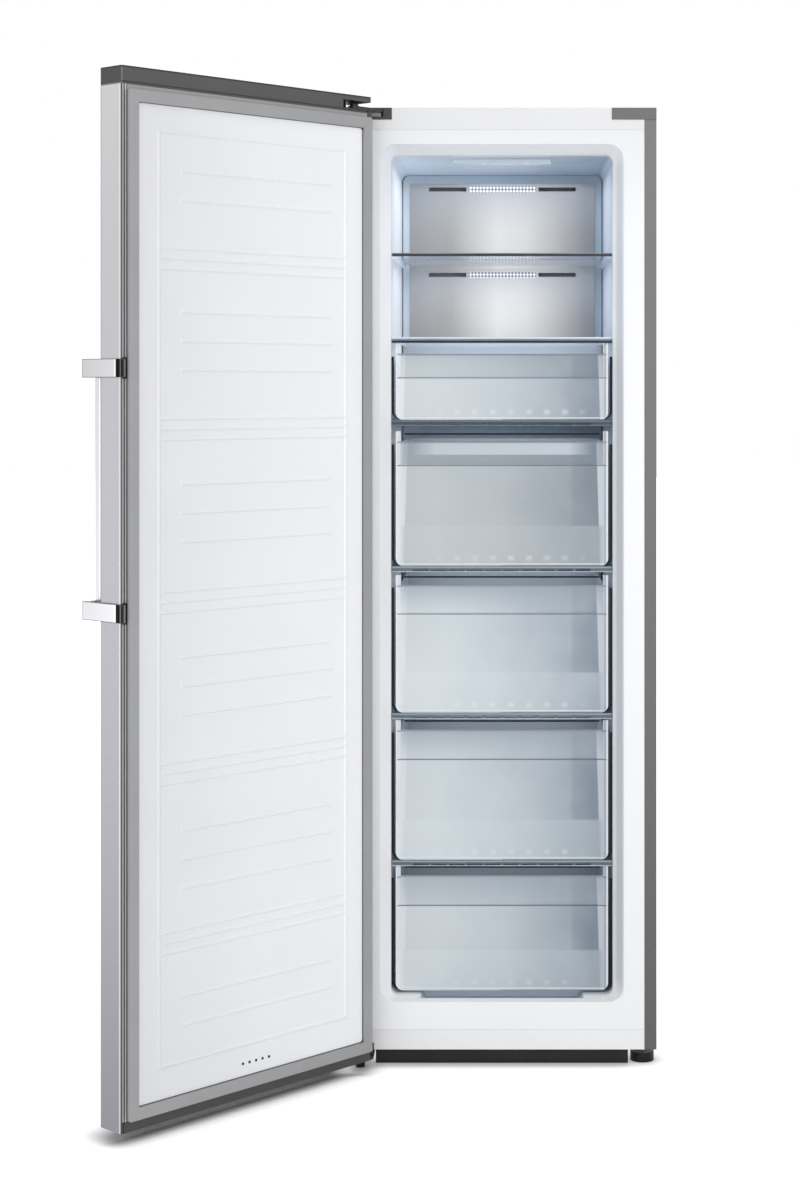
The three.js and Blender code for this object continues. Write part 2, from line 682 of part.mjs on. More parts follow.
// ---------------------------------------------------------------- shelves
function shelfGlass(level) {
  const side = cavityBackHalf - GLASS_SIDE_GAP;
  const front = trimBack - TRIM_GRIP;
  return block(-side, side, front, glassBack, level - GLASS_THICKNESS, level);
}

function shelfTrim(level, index) {
  const side = cavityHalf - TRIM_SIDE_GAP;
  const height = index === 0 ? TOP_TRIM_HEIGHT : TRIM_HEIGHT;
  const bar = block(-side, side, TRIM_FRONT, trimBack, level - height, level);
  const seat = level - GLASS_THICKNESS - FIT_GAP;
  const groove = block(-side - OVERRUN, side + OVERRUN, trimBack - TRIM_GRIP - FIT_GAP,
    trimBack + OVERRUN, seat, level + OVERRUN);
  if (index < 2) return cut(bar, groove);
  const slots = [];
  const slotTop = seat - FIT_GAP * 2;
  for (let i = 0; i < SLOT_COUNT; i++) {
    const x = (i - (SLOT_COUNT - 1) / 2) * SLOT_PITCH;
    slots.push(block(x - SLOT_WIDTH / 2, x + SLOT_WIDTH / 2, TRIM_FRONT - OVERRUN,
      trimBack + OVERRUN, slotTop - SLOT_HEIGHT, slotTop));
  }
  return cut(bar, groove, ...slots);
}

// ---------------------------------------------------------------- drawers
const tubSide = cavityHalf - TUB_SIDE_GAP;
const frontSide = cavityHalf - FRONT_SIDE_GAP;
const tubFront = FRONT_FACE + EAR_DEPTH + FIT_GAP;

function drawerTub(drawer, index) {
  const low = index === drawerLevels.length - 1;
  const back = low ? STEP_FRONT - LOW_TUB_BACK_GAP : COVER_PLATE_FRONT - TUB_BACK_GAP;
  const rim = drawer.top - TUB_RIM_DROP;
  const w = TUB_WALL;
  const over = rim + 2 * TUB_CORNER; // the outlines' upper corners are cut off at the rim
  const outline = roundedRect(-tubSide, tubSide, drawer.bottom, over, TUB_CORNER);
  const inner = roundedRect(-tubSide + w, tubSide - w, drawer.bottom + w, over + w, TUB_CORNER - w);
  const above = block(-half, half, 0, CASE_DEPTH, rim, over + 2 * w);
  const solid = extrude("y", outline, tubFront, back);
  const tub = cut(solid, extrude("y", inner, tubFront - OVERRUN, back - w), above);
  if (!low) return tub;
  const outer = tubSide - SKID_INSET;
  const skids = [-outer, outer - SKID_WIDTH].map((x) =>
    block(x, x + SKID_WIDTH, TROUGH_FRONT + TROUGH_LENGTH, back - SKID_WIDTH,
      CAVITY_FLOOR + FIT_GAP, drawer.bottom + w / 2));
  return join(tub, ...skids);
}

function drawerFront({ bottom, top, line: drop }) {
  const side = frontSide;
  const face = FRONT_FACE;
  const w = FRONT_WALL;
  const line = top - drop;
  const dip = top - GRIP_DIP;
  const profile = polygon([
    [face, bottom],
    [face + w, bottom],
    [face + w, line - w],
    [face + w + GRIP_STEP, line - w],
    [face + w + GRIP_TILT, dip],
    [face + GRIP_TILT, dip],
    [face + GRIP_STEP, line],
    [face, line],
  ]);
  const panel = extrude("x", profile, -side, side);
  const rim = face - FRONT_RIM;
  const back = face + EAR_DEPTH;
  const sill = block(-side, side, rim, back, bottom, bottom + w + OVERRUN);
  const ears = [-side, side - EAR_WIDTH].map((x) => block(x, x + EAR_WIDTH, rim, back, bottom, top));
  const outline = roundedRect(-side, side, bottom, top, FRONT_CORNER);
  const square = roundedRect(-side, side, bottom + 2 * FRONT_CORNER, top, EAR_CORNER);
  const limit = join(
    extrude("y", outline, rim - OVERRUN, back + OVERRUN),
    extrude("y", square, rim - OVERRUN, back + OVERRUN),
  );
  return join(panel, sill, ...ears).intersect(limit);
}

// ---------------------------------------------------------------- duct, fan, lamp, cooling
function airSlots(levels, y0, y1) {
  const [w, h] = [AIR_SLOT_WIDTH / 2, AIR_SLOT_HEIGHT / 2];
  return levels.flatMap((level) =>
    [-AIR_SLOT_OFFSET, AIR_SLOT_OFFSET].map((x) => block(x - w, x + w, y0, y1, level - h, level + h)));
}

const openSlotLevels = [CAVITY_TOP - TOP_SLOT_DROP, topShelfLevel - SHELF_SLOT_DROP];
const drawerSlotLevels = drawerLevels.slice(1).map((drawer) => drawer.top - DRAWER_SLOT_DROP);
const evaporatorTop = EVAPORATOR_BOTTOM + EVAPORATOR_HEIGHT;
const fanCentre = { x: 0, z: evaporatorTop + FAN_RISE };
const ductBack = COVER_PLATE_FRONT + COVER_PLATE_WALL;

function ductCover() {
  const side = cavityBackHalf - COVER_PLATE_SIDE_GAP;
  const [bottom, top] = [STEP_TOP + FIT_GAP, CAVITY_TOP - FIT_GAP];
  const [front, back] = [COVER_PLATE_FRONT - OVERRUN, ductBack + OVERRUN];
  const plate = block(-side, side, COVER_PLATE_FRONT, ductBack, bottom, top);
  const outline = roundedRect(-side, side, bottom - 2 * CAVITY_CORNER, top, CAVITY_CORNER);
  const corner = extrude("y", outline, front, back);
  const slots = airSlots([...openSlotLevels, ...drawerSlotLevels], front, back);
  const inlet = rod("y", FAN_MOUTH_RADIUS, front, back, fanCentre);
  return cut(plate.intersect(corner), ...slots, inlet);
}

function ductPanel() {
  const side = cavityHalf - PANEL_SIDE_GAP;
  const back = COVER_PLATE_FRONT - FIT_GAP;
  const front = back - PANEL_WALL;
  const [bottom, top] = [lowerShelfLevel + PANEL_LIFT, CAVITY_TOP - PANEL_TOP_GAP];
  const sheet = block(-side, side, front, back, bottom, top);
  return cut(sheet, ...airSlots(openSlotLevels, front - OVERRUN, back + OVERRUN));
}

function evaporator() {
  const back = CAVITY_DEPTH - FIT_GAP;
  const front = back - EVAPORATOR_DEPTH;
  const side = cavityHalf - EVAPORATOR_SIDE_GAP;
  const root = front + FIN_DEPTH;
  const core = block(-side, side, root, back, EVAPORATOR_BOTTOM, evaporatorTop);
  const pitch = (2 * side - FIN_THICKNESS) / (FIN_COUNT - 1);
  const fins = [];
  for (let i = 0; i < FIN_COUNT; i++) {
    const x = -side + i * pitch;
    fins.push(block(x, x + FIN_THICKNESS, front, root + OVERRUN, EVAPORATOR_BOTTOM, evaporatorTop));
  }
  return join(core, ...fins);
}

const motorBack = CAVITY_DEPTH - FIT_GAP;
const motorFront = motorBack - MOTOR_DEPTH;
const fanBack = motorFront - FAN_RUNNING_GAP;
const fanFront = fanBack - FAN_DEPTH;

function fanMotor() {
  const body = rod("y", MOTOR_RADIUS, motorFront, motorBack, fanCentre);
  return join(body, rod("y", SHAFT_RADIUS, fanFront, motorFront + OVERRUN, fanCentre));
}

function fanRotor() {
  const hub = rod("y", FAN_HUB_RADIUS, fanFront, fanBack, fanCentre);
  const root = FAN_HUB_RADIUS - FAN_BLADE_ROOT;
  const blades = [];
  for (let i = 0; i < FAN_BLADES; i++) {
    const blade = new THREE.BoxGeometry(FAN_RADIUS - root, FAN_BLADE_CHORD, FAN_BLADE_WALL);
    blade.rotateX(Math.PI / 5);
    blade.translate((FAN_RADIUS + root) / 2, (fanFront + fanBack) / 2, 0);
    blade.rotateY((i * 2 * Math.PI) / FAN_BLADES);
    blade.translate(fanCentre.x, 0, fanCentre.z);
    blades.push(toSolid(blade));
  }
  const bore = rod("y", SHAFT_RADIUS + PIN_CLEARANCE, fanFront - OVERRUN, fanBack + OVERRUN, fanCentre);
  return join(hub, ...blades).subtract(bore);
}

const lampTop = CAVITY_TOP - FIT_GAP;

function lampLens() {
  const side = LAMP_WIDTH / 2;
  const back = LAMP_FRONT + LAMP_DEPTH;
  const low = lampTop - LAMP_HEIGHT;
  const w = LAMP_WALL;
  const body = block(-side, side, LAMP_FRONT, back, low, lampTop);
  return body.subtract(block(-side + w, side - w, LAMP_FRONT + w, back - w, low + w, lampTop + OVERRUN));
}

function lampBoard() {
  const g = LAMP_WALL + FIT_GAP;
  const side = LAMP_WIDTH / 2 - g;
  const [front, back] = [LAMP_FRONT + g, LAMP_FRONT + LAMP_DEPTH - g];
  return block(-side, side, front, back, lampTop - LAMP_WALL, lampTop);
}

const cradleTop = baseTop + CRADLE_HEIGHT;
const compressorBottom = cradleTop + FIT_GAP;
const compressorTop = compressorBottom + COMPRESSOR_HEIGHT;

function compressor() {
  const r = COMPRESSOR_RADIUS;
  const h = COMPRESSOR_HEIGHT;
  const profile = [
    [0, 0], [0.62 * r, 0], [0.9 * r, 0.08 * h], [r, 0.2 * h], [r, 0.45 * h], [1.04 * r, 0.46 * h],
    [1.04 * r, 0.5 * h], [r, 0.51 * h], [0.97 * r, 0.72 * h], [0.8 * r, 0.9 * h], [0.45 * r, h], [0, h],
  ].map(([x, y]) => new THREE.Vector2(x, y));
  const shell = new THREE.LatheGeometry(profile, ROUND_SIDES);
  shell.rotateX(Math.PI / 2);
  shell.translate(COMPRESSOR_X, COMPRESSOR_Y, compressorBottom);
  return toSolid(shell);
}

function compressorCradle() {
  const [x, y] = [COMPRESSOR_X, COMPRESSOR_Y];
  const [w, d] = [CRADLE_WIDTH / 2, CRADLE_DEPTH / 2];
  const plate = block(x - w, x + w, y - d, y + d, cradleTop - CRADLE_WALL, cradleTop);
  const legs = [];
  for (const sx of [-1, 1])
    for (const sy of [-1, 1]) {
      const centre = { x: x + sx * (w - CRADLE_LEG_INSET), y: y + sy * (d - CRADLE_LEG_INSET) };
      legs.push(rod("z", CRADLE_LEG_RADIUS, baseTop - OVERRUN, cradleTop - OVERRUN, centre, 12));
    }
  return join(plate, ...legs);
}

function dripTray() {
  const [x, y] = [COMPRESSOR_X, COMPRESSOR_Y];
  const tray = (t, z0, z1) => {
    const [w, d] = [CRADLE_WIDTH / 2 - t, CRADLE_DEPTH / 2 - t];
    return block(x - w, x + w, y - d, y + d, z0, z1);
  };
  const bottom = compressorTop + FIT_GAP;
  const top = bottom + TRAY_HEIGHT;
  return tray(0, bottom, top).subtract(tray(TRAY_WALL, bottom + TRAY_WALL, top + OVERRUN));
}

function condenserCoil() {
  const r = COIL_TUBE_RADIUS;
  const z = bodyBottom + r;
  const front = ROOM_FRONT + COIL_FRONT_GAP;
  const path = new THREE.CurvePath();
  const bend = COIL_PITCH / 2;
  const x0 = -half + COIL_SIDE_GAP + bend + r;
  const x1 = COMPRESSOR_X - CRADLE_WIDTH / 2 - COIL_CRADLE_GAP - bend - r;
  for (let i = 0; i < COIL_RUNS; i++) {
    const y = front + i * COIL_PITCH;
    const [from, to] = i % 2 ? [x1, x0] : [x0, x1];
    path.add(new THREE.LineCurve3(new THREE.Vector3(from, y, z), new THREE.Vector3(to, y, z)));
    if (i + 1 === COIL_RUNS) break;
    const out = to + (i % 2 ? -1 : 1) * bend * 1.33;
    path.add(new THREE.CubicBezierCurve3(
      new THREE.Vector3(to, y, z), new THREE.Vector3(out, y, z),
      new THREE.Vector3(out, y + COIL_PITCH, z), new THREE.Vector3(to, y + COIL_PITCH, z)));
  }
  const section = new THREE.Shape().absarc(0, 0, r, 0, 2 * Math.PI);
  const settings = { extrudePath: path, steps: 80, curveSegments: 4, bevelEnabled: false };
  return toSolid(new THREE.ExtrudeGeometry(section, settings));
}

const boxLeft = half - BOX_SIDE_GAP - BOX_WIDTH;
const inletX = boxLeft + INLET_INSET;

// A block round the mains inlet's middle, grown or drawn in by an amount.
const inletBlock = (grow, y0, y1) => {
  const [w, h] = [INLET_WIDTH / 2 + grow, INLET_HEIGHT / 2 + grow];
  return block(inletX - w, inletX + w, y0, y1, INLET_Z - h, INLET_Z + h);
};

function rearGrille() {
  const [y0, y1] = [backSheetFront - OVERRUN, CASE_DEPTH + OVERRUN];
  const side = inside - FIT_GAP;
  const plate = block(-side, side, backSheetFront, CASE_DEPTH, bodyBottom, ROOM_TOP - FIT_GAP);
  const pitch = (ROOM_TOP - bodyBottom - GRILLE_SLOT_GAP) / GRILLE_SLOTS;
  const slots = [];
  for (let i = 0; i < GRILLE_SLOTS; i++)
    for (const column of [0, 1]) {
      const z = bodyBottom + GRILLE_EDGE + i * pitch;
      const x = -half + GRILLE_SIDE + column * (GRILLE_SLOT_WIDTH + GRILLE_SLOT_GAP);
      slots.push(block(x, x + GRILLE_SLOT_WIDTH, y0, y1, z, z + GRILLE_SLOT_HEIGHT));
    }
  return cut(plate, inletBlock(FIT_GAP, y0, y1), ...slots);
}

// The control box carries the mains inlet, which shows through a hole in the rear grille.
function controlBox() {
  const back = backSheetFront - FIT_GAP;
  const end = CASE_DEPTH + INLET_PROUD;
  const bottom = end - INLET_DEPTH;
  const [right, top] = [boxLeft + BOX_WIDTH, bodyBottom + BOX_HEIGHT];
  const housing = block(boxLeft, right, back - BOX_DEPTH, back, bodyBottom, top);
  const socket = inletBlock(-INLET_WALL, bottom, end + OVERRUN);
  const { width, height, low, high } = INLET_PIN;
  const pins = [-1, 0, 1].map((i) => {
    const [x, z] = [inletX + i * INLET_PIN_PITCH, INLET_Z + (i ? low : high)];
    return block(x - width / 2, x + width / 2, bottom - OVERRUN, end - OVERRUN,
      z - height / 2, z + height / 2);
  });
  return join(cut(join(housing, inletBlock(0, back - OVERRUN, end)), socket), ...pins);
}

// ---------------------------------------------------------------- hinges on the cabinet
const doorLeft = -DOOR_WIDTH / 2;
const innerFace = -DOOR_GAP;
const outerFace = innerFace - DOOR_THICKNESS;
const pivot = { x: doorLeft + HINGE_INSET, y: innerFace - HINGE_DEPTH };

function topHinge() {
  const top = ARM_LEVEL + ARM_THICKNESS;
  const r = ARM_EYE_RADIUS;
  const outline = polygon([
    [ARM_ROOT_LEFT, ARM_ROOT_DEPTH],
    [ARM_ROOT_LEFT, 0],
    [pivot.x - r, pivot.y],
    [pivot.x + r, pivot.y],
    [ARM_ROOT_RIGHT, 0],
    [ARM_ROOT_RIGHT, ARM_ROOT_DEPTH],
  ]);
  const arm = extrude("z", outline, ARM_LEVEL, top);
  const eye = rod("z", r, ARM_LEVEL, top, pivot);
  const pin = rod("z", PIN_RADIUS, ARM_LEVEL - PIN_LENGTH, top, pivot);
  const head = rod("z", PIN_HEAD_RADIUS, top - OVERRUN, top + PIN_HEAD_HEIGHT, pivot);
  const [left, right] = [ARM_ROOT_LEFT + ARM_FOOTING_INSET, ARM_ROOT_RIGHT - ARM_FOOTING_INSET];
  const footing = block(left, right, COVER_WALL + ARM_FOOTING_INSET, ARM_ROOT_DEPTH,
    coverBottom + COVER_WALL + FIT_GAP, ARM_LEVEL + OVERRUN);
  return join(arm, eye, pin, head, footing);
}

function bottomHinge() {
  const top = LOW_ARM_LEVEL + LOW_ARM_THICKNESS;
  const r = ARM_EYE_RADIUS;
  const [left, right] = [LOW_ARM_LEFT, LOW_ARM_RIGHT];
  const outline = polygon([
    [left, LOW_ARM_BACK],
    [left, -LOW_ARM_SHOULDER],
    [pivot.x - r, pivot.y],
    [pivot.x + r, pivot.y],
    [right, -LOW_ARM_SHOULDER],
    [right, LOW_ARM_BACK],
  ]);
  const arm = extrude("z", outline, LOW_ARM_LEVEL, top);
  const eye = rod("z", r, LOW_ARM_LEVEL, top, pivot);
  const pin = rod("z", PIN_RADIUS, top - OVERRUN, capFloor - LOW_PIN_GAP, pivot);
  const plate = block(left, right, -FIT_GAP - LOW_PLATE_WALL, -FIT_GAP, LOW_ARM_LEVEL, LOW_PLATE_TOP);
  const seat = block(left, right, LOW_ARM_BACK - LOW_SEAT_DEPTH, LOW_ARM_BACK,
    top - OVERRUN, CASE_BOTTOM - FIT_GAP);
  return join(arm, eye, pin, plate, seat).subtract(studRoom(LEFT_FOOT));
}

// ---------------------------------------------------------------- door
const skinTop = DOOR_TOP - TOP_CAP_HEIGHT;
const capFloor = DOOR_BOTTOM + BOTTOM_CAP_HEIGHT;
const notchBottom = skinTop + NOTCH_FLOOR;
const notchTop = notchBottom + NOTCH_HEIGHT;
const doorAt = (u) => doorLeft + u; // u runs from the hinge side to the handle side
const faceAt = (v) => innerFace - v; // v runs from the inner face to the outer face

// A block in door terms: u along the door, v outwards from its inner face, z up.
const slab = (u0, u1, v0, v1, z0, z1) =>
  block(doorAt(u0), doorAt(u1), faceAt(v1), faceAt(v0), z0, z1);

function doorPrism(inset, z0, z1) {
  const [u0, u1] = [doorAt(inset), doorAt(DOOR_WIDTH - inset)];
  const r = Math.max(DOOR_CORNER - inset, 0.5);
  return extrude("z", roundedRect(u0, u1, outerFace + inset, innerFace - inset, r), z0, z1, 3);
}

const pinRoom = (z0, z1) => rod("z", PIN_RADIUS + PIN_CLEARANCE, z0, z1, pivot);

function doorSkin() {
  const [low, high] = [DOOR_BOTTOM - OVERRUN, skinTop + OVERRUN];
  const sleeve = doorPrism(0, DOOR_BOTTOM, skinTop).subtract(doorPrism(SHEET, low, high));
  const innerSide = (edge, top) =>
    slab(edge, DOOR_WIDTH - edge, -OVERRUN, SHEET + OVERRUN, low, top);
  return cut(sleeve, innerSide(SKIN_RETURN, high), innerSide(SHEET, capFloor));
}

function bottomCap() {
  const inset = SHEET + FIT_GAP;
  const top = capFloor - FIT_GAP;
  const edge = inset + DOOR_CORNER;
  const body = doorPrism(inset, DOOR_BOTTOM, top);
  const flush = slab(edge, DOOR_WIDTH - edge, 0, DOOR_THICKNESS / 2, DOOR_BOTTOM, top);
  return join(body, flush).subtract(pinRoom(DOOR_BOTTOM - OVERRUN, capFloor + OVERRUN));
}

function topCap() {
  const body = doorPrism(0, skinTop + FIT_GAP, DOOR_TOP);
  const notch = (wide, deep) => slab(-OVERRUN, wide, -OVERRUN, deep, notchBottom, notchTop);
  const recess = notch(NOTCH_WIDTH, DOOR_THICKNESS - CAP_FRONT_WALL);
  const through = notch(NOTCH_THROUGH, DOOR_THICKNESS + OVERRUN);
  return cut(body, recess, through, pinRoom(skinTop - OVERRUN, notchBottom + OVERRUN));
}

const bushPlateTop = notchBottom + FIT_GAP + BUSH_PLATE_WALL;

function hingePlate() {
  const [u, v] = [BUSH_PLATE_INSET, HINGE_DEPTH - BUSH_PLATE_OFFSET];
  const bottom = notchBottom + FIT_GAP;
  const plate = slab(u, u + BUSH_PLATE_LENGTH, v, v + BUSH_PLATE_DEPTH, bottom, bushPlateTop);
  const screwPlace = { x: pivot.x + SCREW_OFFSET, y: faceAt(HINGE_DEPTH / 2) };
  const [low, high] = [bushPlateTop - OVERRUN, bushPlateTop + SCREW_HEIGHT];
  const screw = rod("z", SCREW_RADIUS, low, high, screwPlace, 16);
  return join(plate, screw).subtract(pinRoom(notchBottom - OVERRUN, bushPlateTop + OVERRUN));
}

const borderInset = SKIN_RETURN + FIT_GAP;
const foamInset = SHEET + FIT_GAP;

const rib = (u0, u1, z0, z1) => {
  const top = FIELD_PROUD + RIB_PROUD;
  const base = FIELD_PROUD - LINER_WALL / 2;
  const corners = [];
  for (const [v, s] of [[base, 0], [top, RIB_SLOPE]])
    for (const [u, z] of [[u0 + s, z0 + s], [u1 - s, z0 + s], [u1 - s, z1 - s], [u0 + s, z1 - s]])
      corners.push([doorAt(u), faceAt(-v), z]);
  const faces = [
    [0, 1, 2], [0, 2, 3], [4, 6, 5], [4, 7, 6], [0, 5, 1], [0, 4, 5],
    [1, 6, 2], [1, 5, 6], [2, 7, 3], [2, 6, 7], [3, 4, 0], [3, 7, 4],
  ];
  const position = new THREE.Float32BufferAttribute(faces.flat().flatMap((i) => corners[i]), 3);
  return toSolid(new THREE.BufferGeometry().setAttribute("position", position));
};

// The outline of the liner's raised field, drawn in by an inset.
const fieldShape = (inset) =>
  roundedRect(doorAt(FIELD_INSET + inset), doorAt(DOOR_WIDTH - FIELD_INSET - inset),
    FIELD_BOTTOM + inset, FIELD_TOP - inset, FIELD_CORNER - inset);

function doorLiner() {
  const t = LINER_WALL;
  const [u0, u1] = [borderInset, DOOR_WIDTH - borderInset];
  const edge = slab(u0, u1, 0, t, capFloor + FIT_GAP, skinTop - FIT_GAP);
  const raised = (inset, back) =>
    extrude("y", fieldShape(inset), innerFace - back, innerFace + FIELD_PROUD - inset, 3);
  const w = RIB_WIDTH / 2;
  const [left, right, top, bottom] =
    [FRAME_RIB_LEFT, FRAME_RIB_RIGHT, FRAME_RIB_TOP, FRAME_RIB_BOTTOM];
  const ribs = [
    rib(left - w, left + w, bottom - w, top + w),
    rib(right - w, right + w, bottom - w, top + w),
    rib(left, right, top - w, top + w),
    rib(left, right, bottom - w, bottom + w),
  ];
  const rows = (share, count, pitch, from, to) => {
    const middle = top - share * (top - bottom);
    for (let i = 0; i < count; i++) {
      const z = middle + (i - (count - 1) / 2) * pitch;
      ribs.push(rib(from, to, z - w, z + w));
    }
  };
  for (const { share, count } of SHORT_RIB_PANELS)
    rows(share, count, SHORT_RIB_PITCH, SHORT_RIB_LEFT, SHORT_RIB_RIGHT);
  for (const share of BAND_SHARES) rows(share, BAND_RIBS, BAND_PITCH, left, right);
  return join(cut(join(edge, raised(0, t)), raised(t, t + OVERRUN)), ...ribs);
}

function doorFoam() {
  const w = LINER_WALL + FIT_GAP;
  const body = doorPrism(foamInset, capFloor + FIT_GAP, skinTop - FIT_GAP);
  const edge = borderInset - FIT_GAP;
  const behind = slab(edge, DOOR_WIDTH - edge, -OVERRUN, w, DOOR_BOTTOM, DOOR_TOP);
  const [inner, outer] = [innerFace - w - OVERRUN, innerFace + FIELD_PROUD - w];
  const raised = extrude("y", fieldShape(w), inner, outer, 3);
  const pinEnd = pinRoom(ARM_LEVEL - PIN_LENGTH - OVERRUN, skinTop);
  return cut(join(body.subtract(behind), raised), pinEnd);
}

// One step of the seal's section: a frame of one width, set out from the door's inner face.
function gasketFrame(width, v0, v1) {
  const shift = (GASKET_WIDTH - width) / 2;
  const frame = (inset, r) => {
    const [u0, u1] = [doorAt(GASKET_INSET + inset), doorAt(DOOR_WIDTH - GASKET_INSET - inset)];
    const bottom = DOOR_BOTTOM + GASKET_BOTTOM_INSET + inset;
    return roundedRect(u0, u1, bottom, DOOR_TOP - GASKET_TOP_INSET - inset, r);
  };
  const [y0, y1] = [innerFace + v0, innerFace + v1];
  const ring = extrude("y", frame(shift, GASKET_CORNER), y0, y1, 3);
  const hole = frame(shift + width, GASKET_CORNER / 4);
  return ring.subtract(extrude("y", hole, y0 - OVERRUN, y1 + OVERRUN, 2));
}

function doorGasket() {
  const lap = FIT_GAP;
  const base = gasketFrame(BELLOWS_WIDTH + BELLOWS_FOOT, FIT_GAP, GASKET_FOOT_DEPTH);
  const waist = gasketFrame(BELLOWS_WIDTH, GASKET_FOOT_DEPTH - lap, GASKET_WAIST_DEPTH);
  const head = gasketFrame(GASKET_WIDTH, GASKET_WAIST_DEPTH - lap, GASKET_DEPTH);
  return join(base, waist, head);
}

const barNear = DOOR_WIDTH - BAR_OUTER_EDGE;
const barFar = barNear - BAR_WIDTH;
const barInner = BRACKET_REACH - BAR_DEPTH;

function handleBracket(level) {
  const [z0, z1] = [level - BRACKET_HEIGHT / 2, level + BRACKET_HEIGHT / 2];
  const plateIn = DOOR_WIDTH + FIT_GAP;
  const plateOut = plateIn + BRACKET_WALL;
  const v0 = -BRACKET_RETURN_PROUD;
  const plate = slab(plateIn, plateOut, v0, BRACKET_REACH, z0, z1);
  const hook = slab(plateOut - BRACKET_RETURN, plateOut, v0, -FIT_GAP, z0, z1);
  const arm = slab(barFar, plateOut, barInner, BRACKET_REACH, z0, z1);
  return join(plate, hook, arm);
}

const tenonShape = (grow) => {
  const t = BAR_TENON_WALL - grow;
  const [u0, u1] = [doorAt(barFar + t), doorAt(barNear - t)];
  return roundedRect(u0, u1, faceAt(BRACKET_REACH - t), faceAt(barInner + t), TENON_CORNER);
};
const tenonBottom = BRACKET_LEVELS.lower + BRACKET_HEIGHT / 2 - BAR_TENON;
const tenonTop = BRACKET_LEVELS.upper - BRACKET_HEIGHT / 2 + BAR_TENON;

function handleBar() {
  const [u0, u1] = [doorAt(barFar), doorAt(barNear)];
  const shape = roundedRect(u0, u1, faceAt(BRACKET_REACH), faceAt(barInner), BAR_CORNER);
  const [low, high] = [tenonBottom + BAR_TENON + FIT_GAP, tenonTop - BAR_TENON - FIT_GAP];
  return join(extrude("z", shape, low, high, 4), extrude("z", tenonShape(0), tenonBottom, tenonTop, 2));
}

// ---------------------------------------------------------------- assembly
place(cabinet, "outer_case", outerCase(), "greyPaint");
place(cabinet, "back_panel", backPanel(), "zinc");
place(cabinet, "inner_liner", innerLiner(), "liner");
place(cabinet, "insulation_foam", insulation(), "foam");
place(cabinet, "top_rail", topRail(), "whitePaint");
place(cabinet, "bottom_rail", bottomRail(), "whitePaint");
place(cabinet, "corner_cover", cornerCover(1), "darkPlastic");
place(cabinet, "hinge_cover", hingeCover(), "darkPlastic");
place(cabinet, "top_hinge", topHinge(), "blackSteel");
place(cabinet, "bottom_hinge", bottomHinge(), "zinc");
place(cabinet, "base_plate", basePlate(), "zinc");
place(cabinet, "plinth", plinth(), "blackPlastic");
place(cabinet, "rear_grille", rearGrille(), "blackPaint");
place(cabinet, "control_box", controlBox(), "whitePlastic");
place(cabinet, "compressor", compressor(), "blackPaint");
place(cabinet, "drip_tray", dripTray(), "blackPlastic");
place(cabinet, "condenser_coil", condenserCoil(), "copper");
place(cabinet, "duct_cover", ductCover(), "whitePlastic");
place(cabinet, "duct_panel", ductPanel(), "stainless");
place(cabinet, "evaporator", evaporator(), "aluminium");
place(cabinet, "fan_motor", fanMotor(), "blackPlastic");
place(cabinet, "fan_rotor", fanRotor(), "whitePlastic");
place(cabinet, "lamp_lens", lampLens(), "lens");
place(cabinet, "lamp_board", lampBoard(), "circuit");
place(cabinet, "front_foot_left", foot(LEFT_FOOT), "blackPlastic");
place(cabinet, "front_foot_right", foot(RIGHT_FOOT), "blackPlastic");
place(cabinet, "rear_roller_left", roller(-1), "blackPlastic");
place(cabinet, "rear_roller_right", roller(1), "blackPlastic");

shelfLevels.forEach((level, index) => {
  place(cabinet, `shelf_${index + 1}_glass`, shelfGlass(level), "glass");
  place(cabinet, `shelf_${index + 1}_trim`, shelfTrim(level, index), "shelfTrim");
});
drawerLevels.forEach((drawer, index) => {
  place(cabinet, `drawer_${index + 1}_tub`, drawerTub(drawer, index), "clearPlastic");
  place(cabinet, `drawer_${index + 1}_front`, drawerFront(drawer), "clearPlastic");
});

const upper = handleBracket(BRACKET_LEVELS.upper);
const lower = handleBracket(BRACKET_LEVELS.lower);
const tenonRoom = extrude("z", tenonShape(FIT_GAP), tenonBottom - FIT_GAP, tenonTop + FIT_GAP, 2);
place(door, "door_skin", doorSkin(), "stainless");
place(door, "door_top_cap", topCap(), "darkPlastic");
place(door, "door_bottom_cap", bottomCap(), "blackPlastic");
place(door, "door_hinge_plate", hingePlate(), "blackSteel");
place(door, "door_liner", doorLiner(), "liner");
place(door, "door_foam", doorFoam(), "foam");
place(door, "door_gasket", doorGasket(), "gasket");
place(door, "handle_bracket_upper", upper.subtract(tenonRoom), "chrome");
place(door, "handle_bracket_lower", lower.subtract(tenonRoom), "chrome");
place(door, "handle_bar", handleBar(), "stainless");

// The door's pieces are drawn closed, then turned open about the hinge axis.
for (const mesh of door.children) mesh.position.set(-pivot.x, -pivot.y, 0);
door.position.set(pivot.x, pivot.y, 0);
door.rotation.z = -THREE.MathUtils.degToRad(DOOR_OPEN_DEGREES);

// The origin lies on the floor under the middle of the whole object's box.
const body = new THREE.Group();
body.add(cabinet, door);
const freezer = new THREE.Group();
freezer.add(body);
const box = new THREE.Box3().setFromObject(freezer, true);
body.position.set(-(box.min.x + box.max.x) / 2, -(box.min.y + box.max.y) / 2, 0);

export default freezer;
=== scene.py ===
"""The upright freezer with its door open: looks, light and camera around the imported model."""

import math

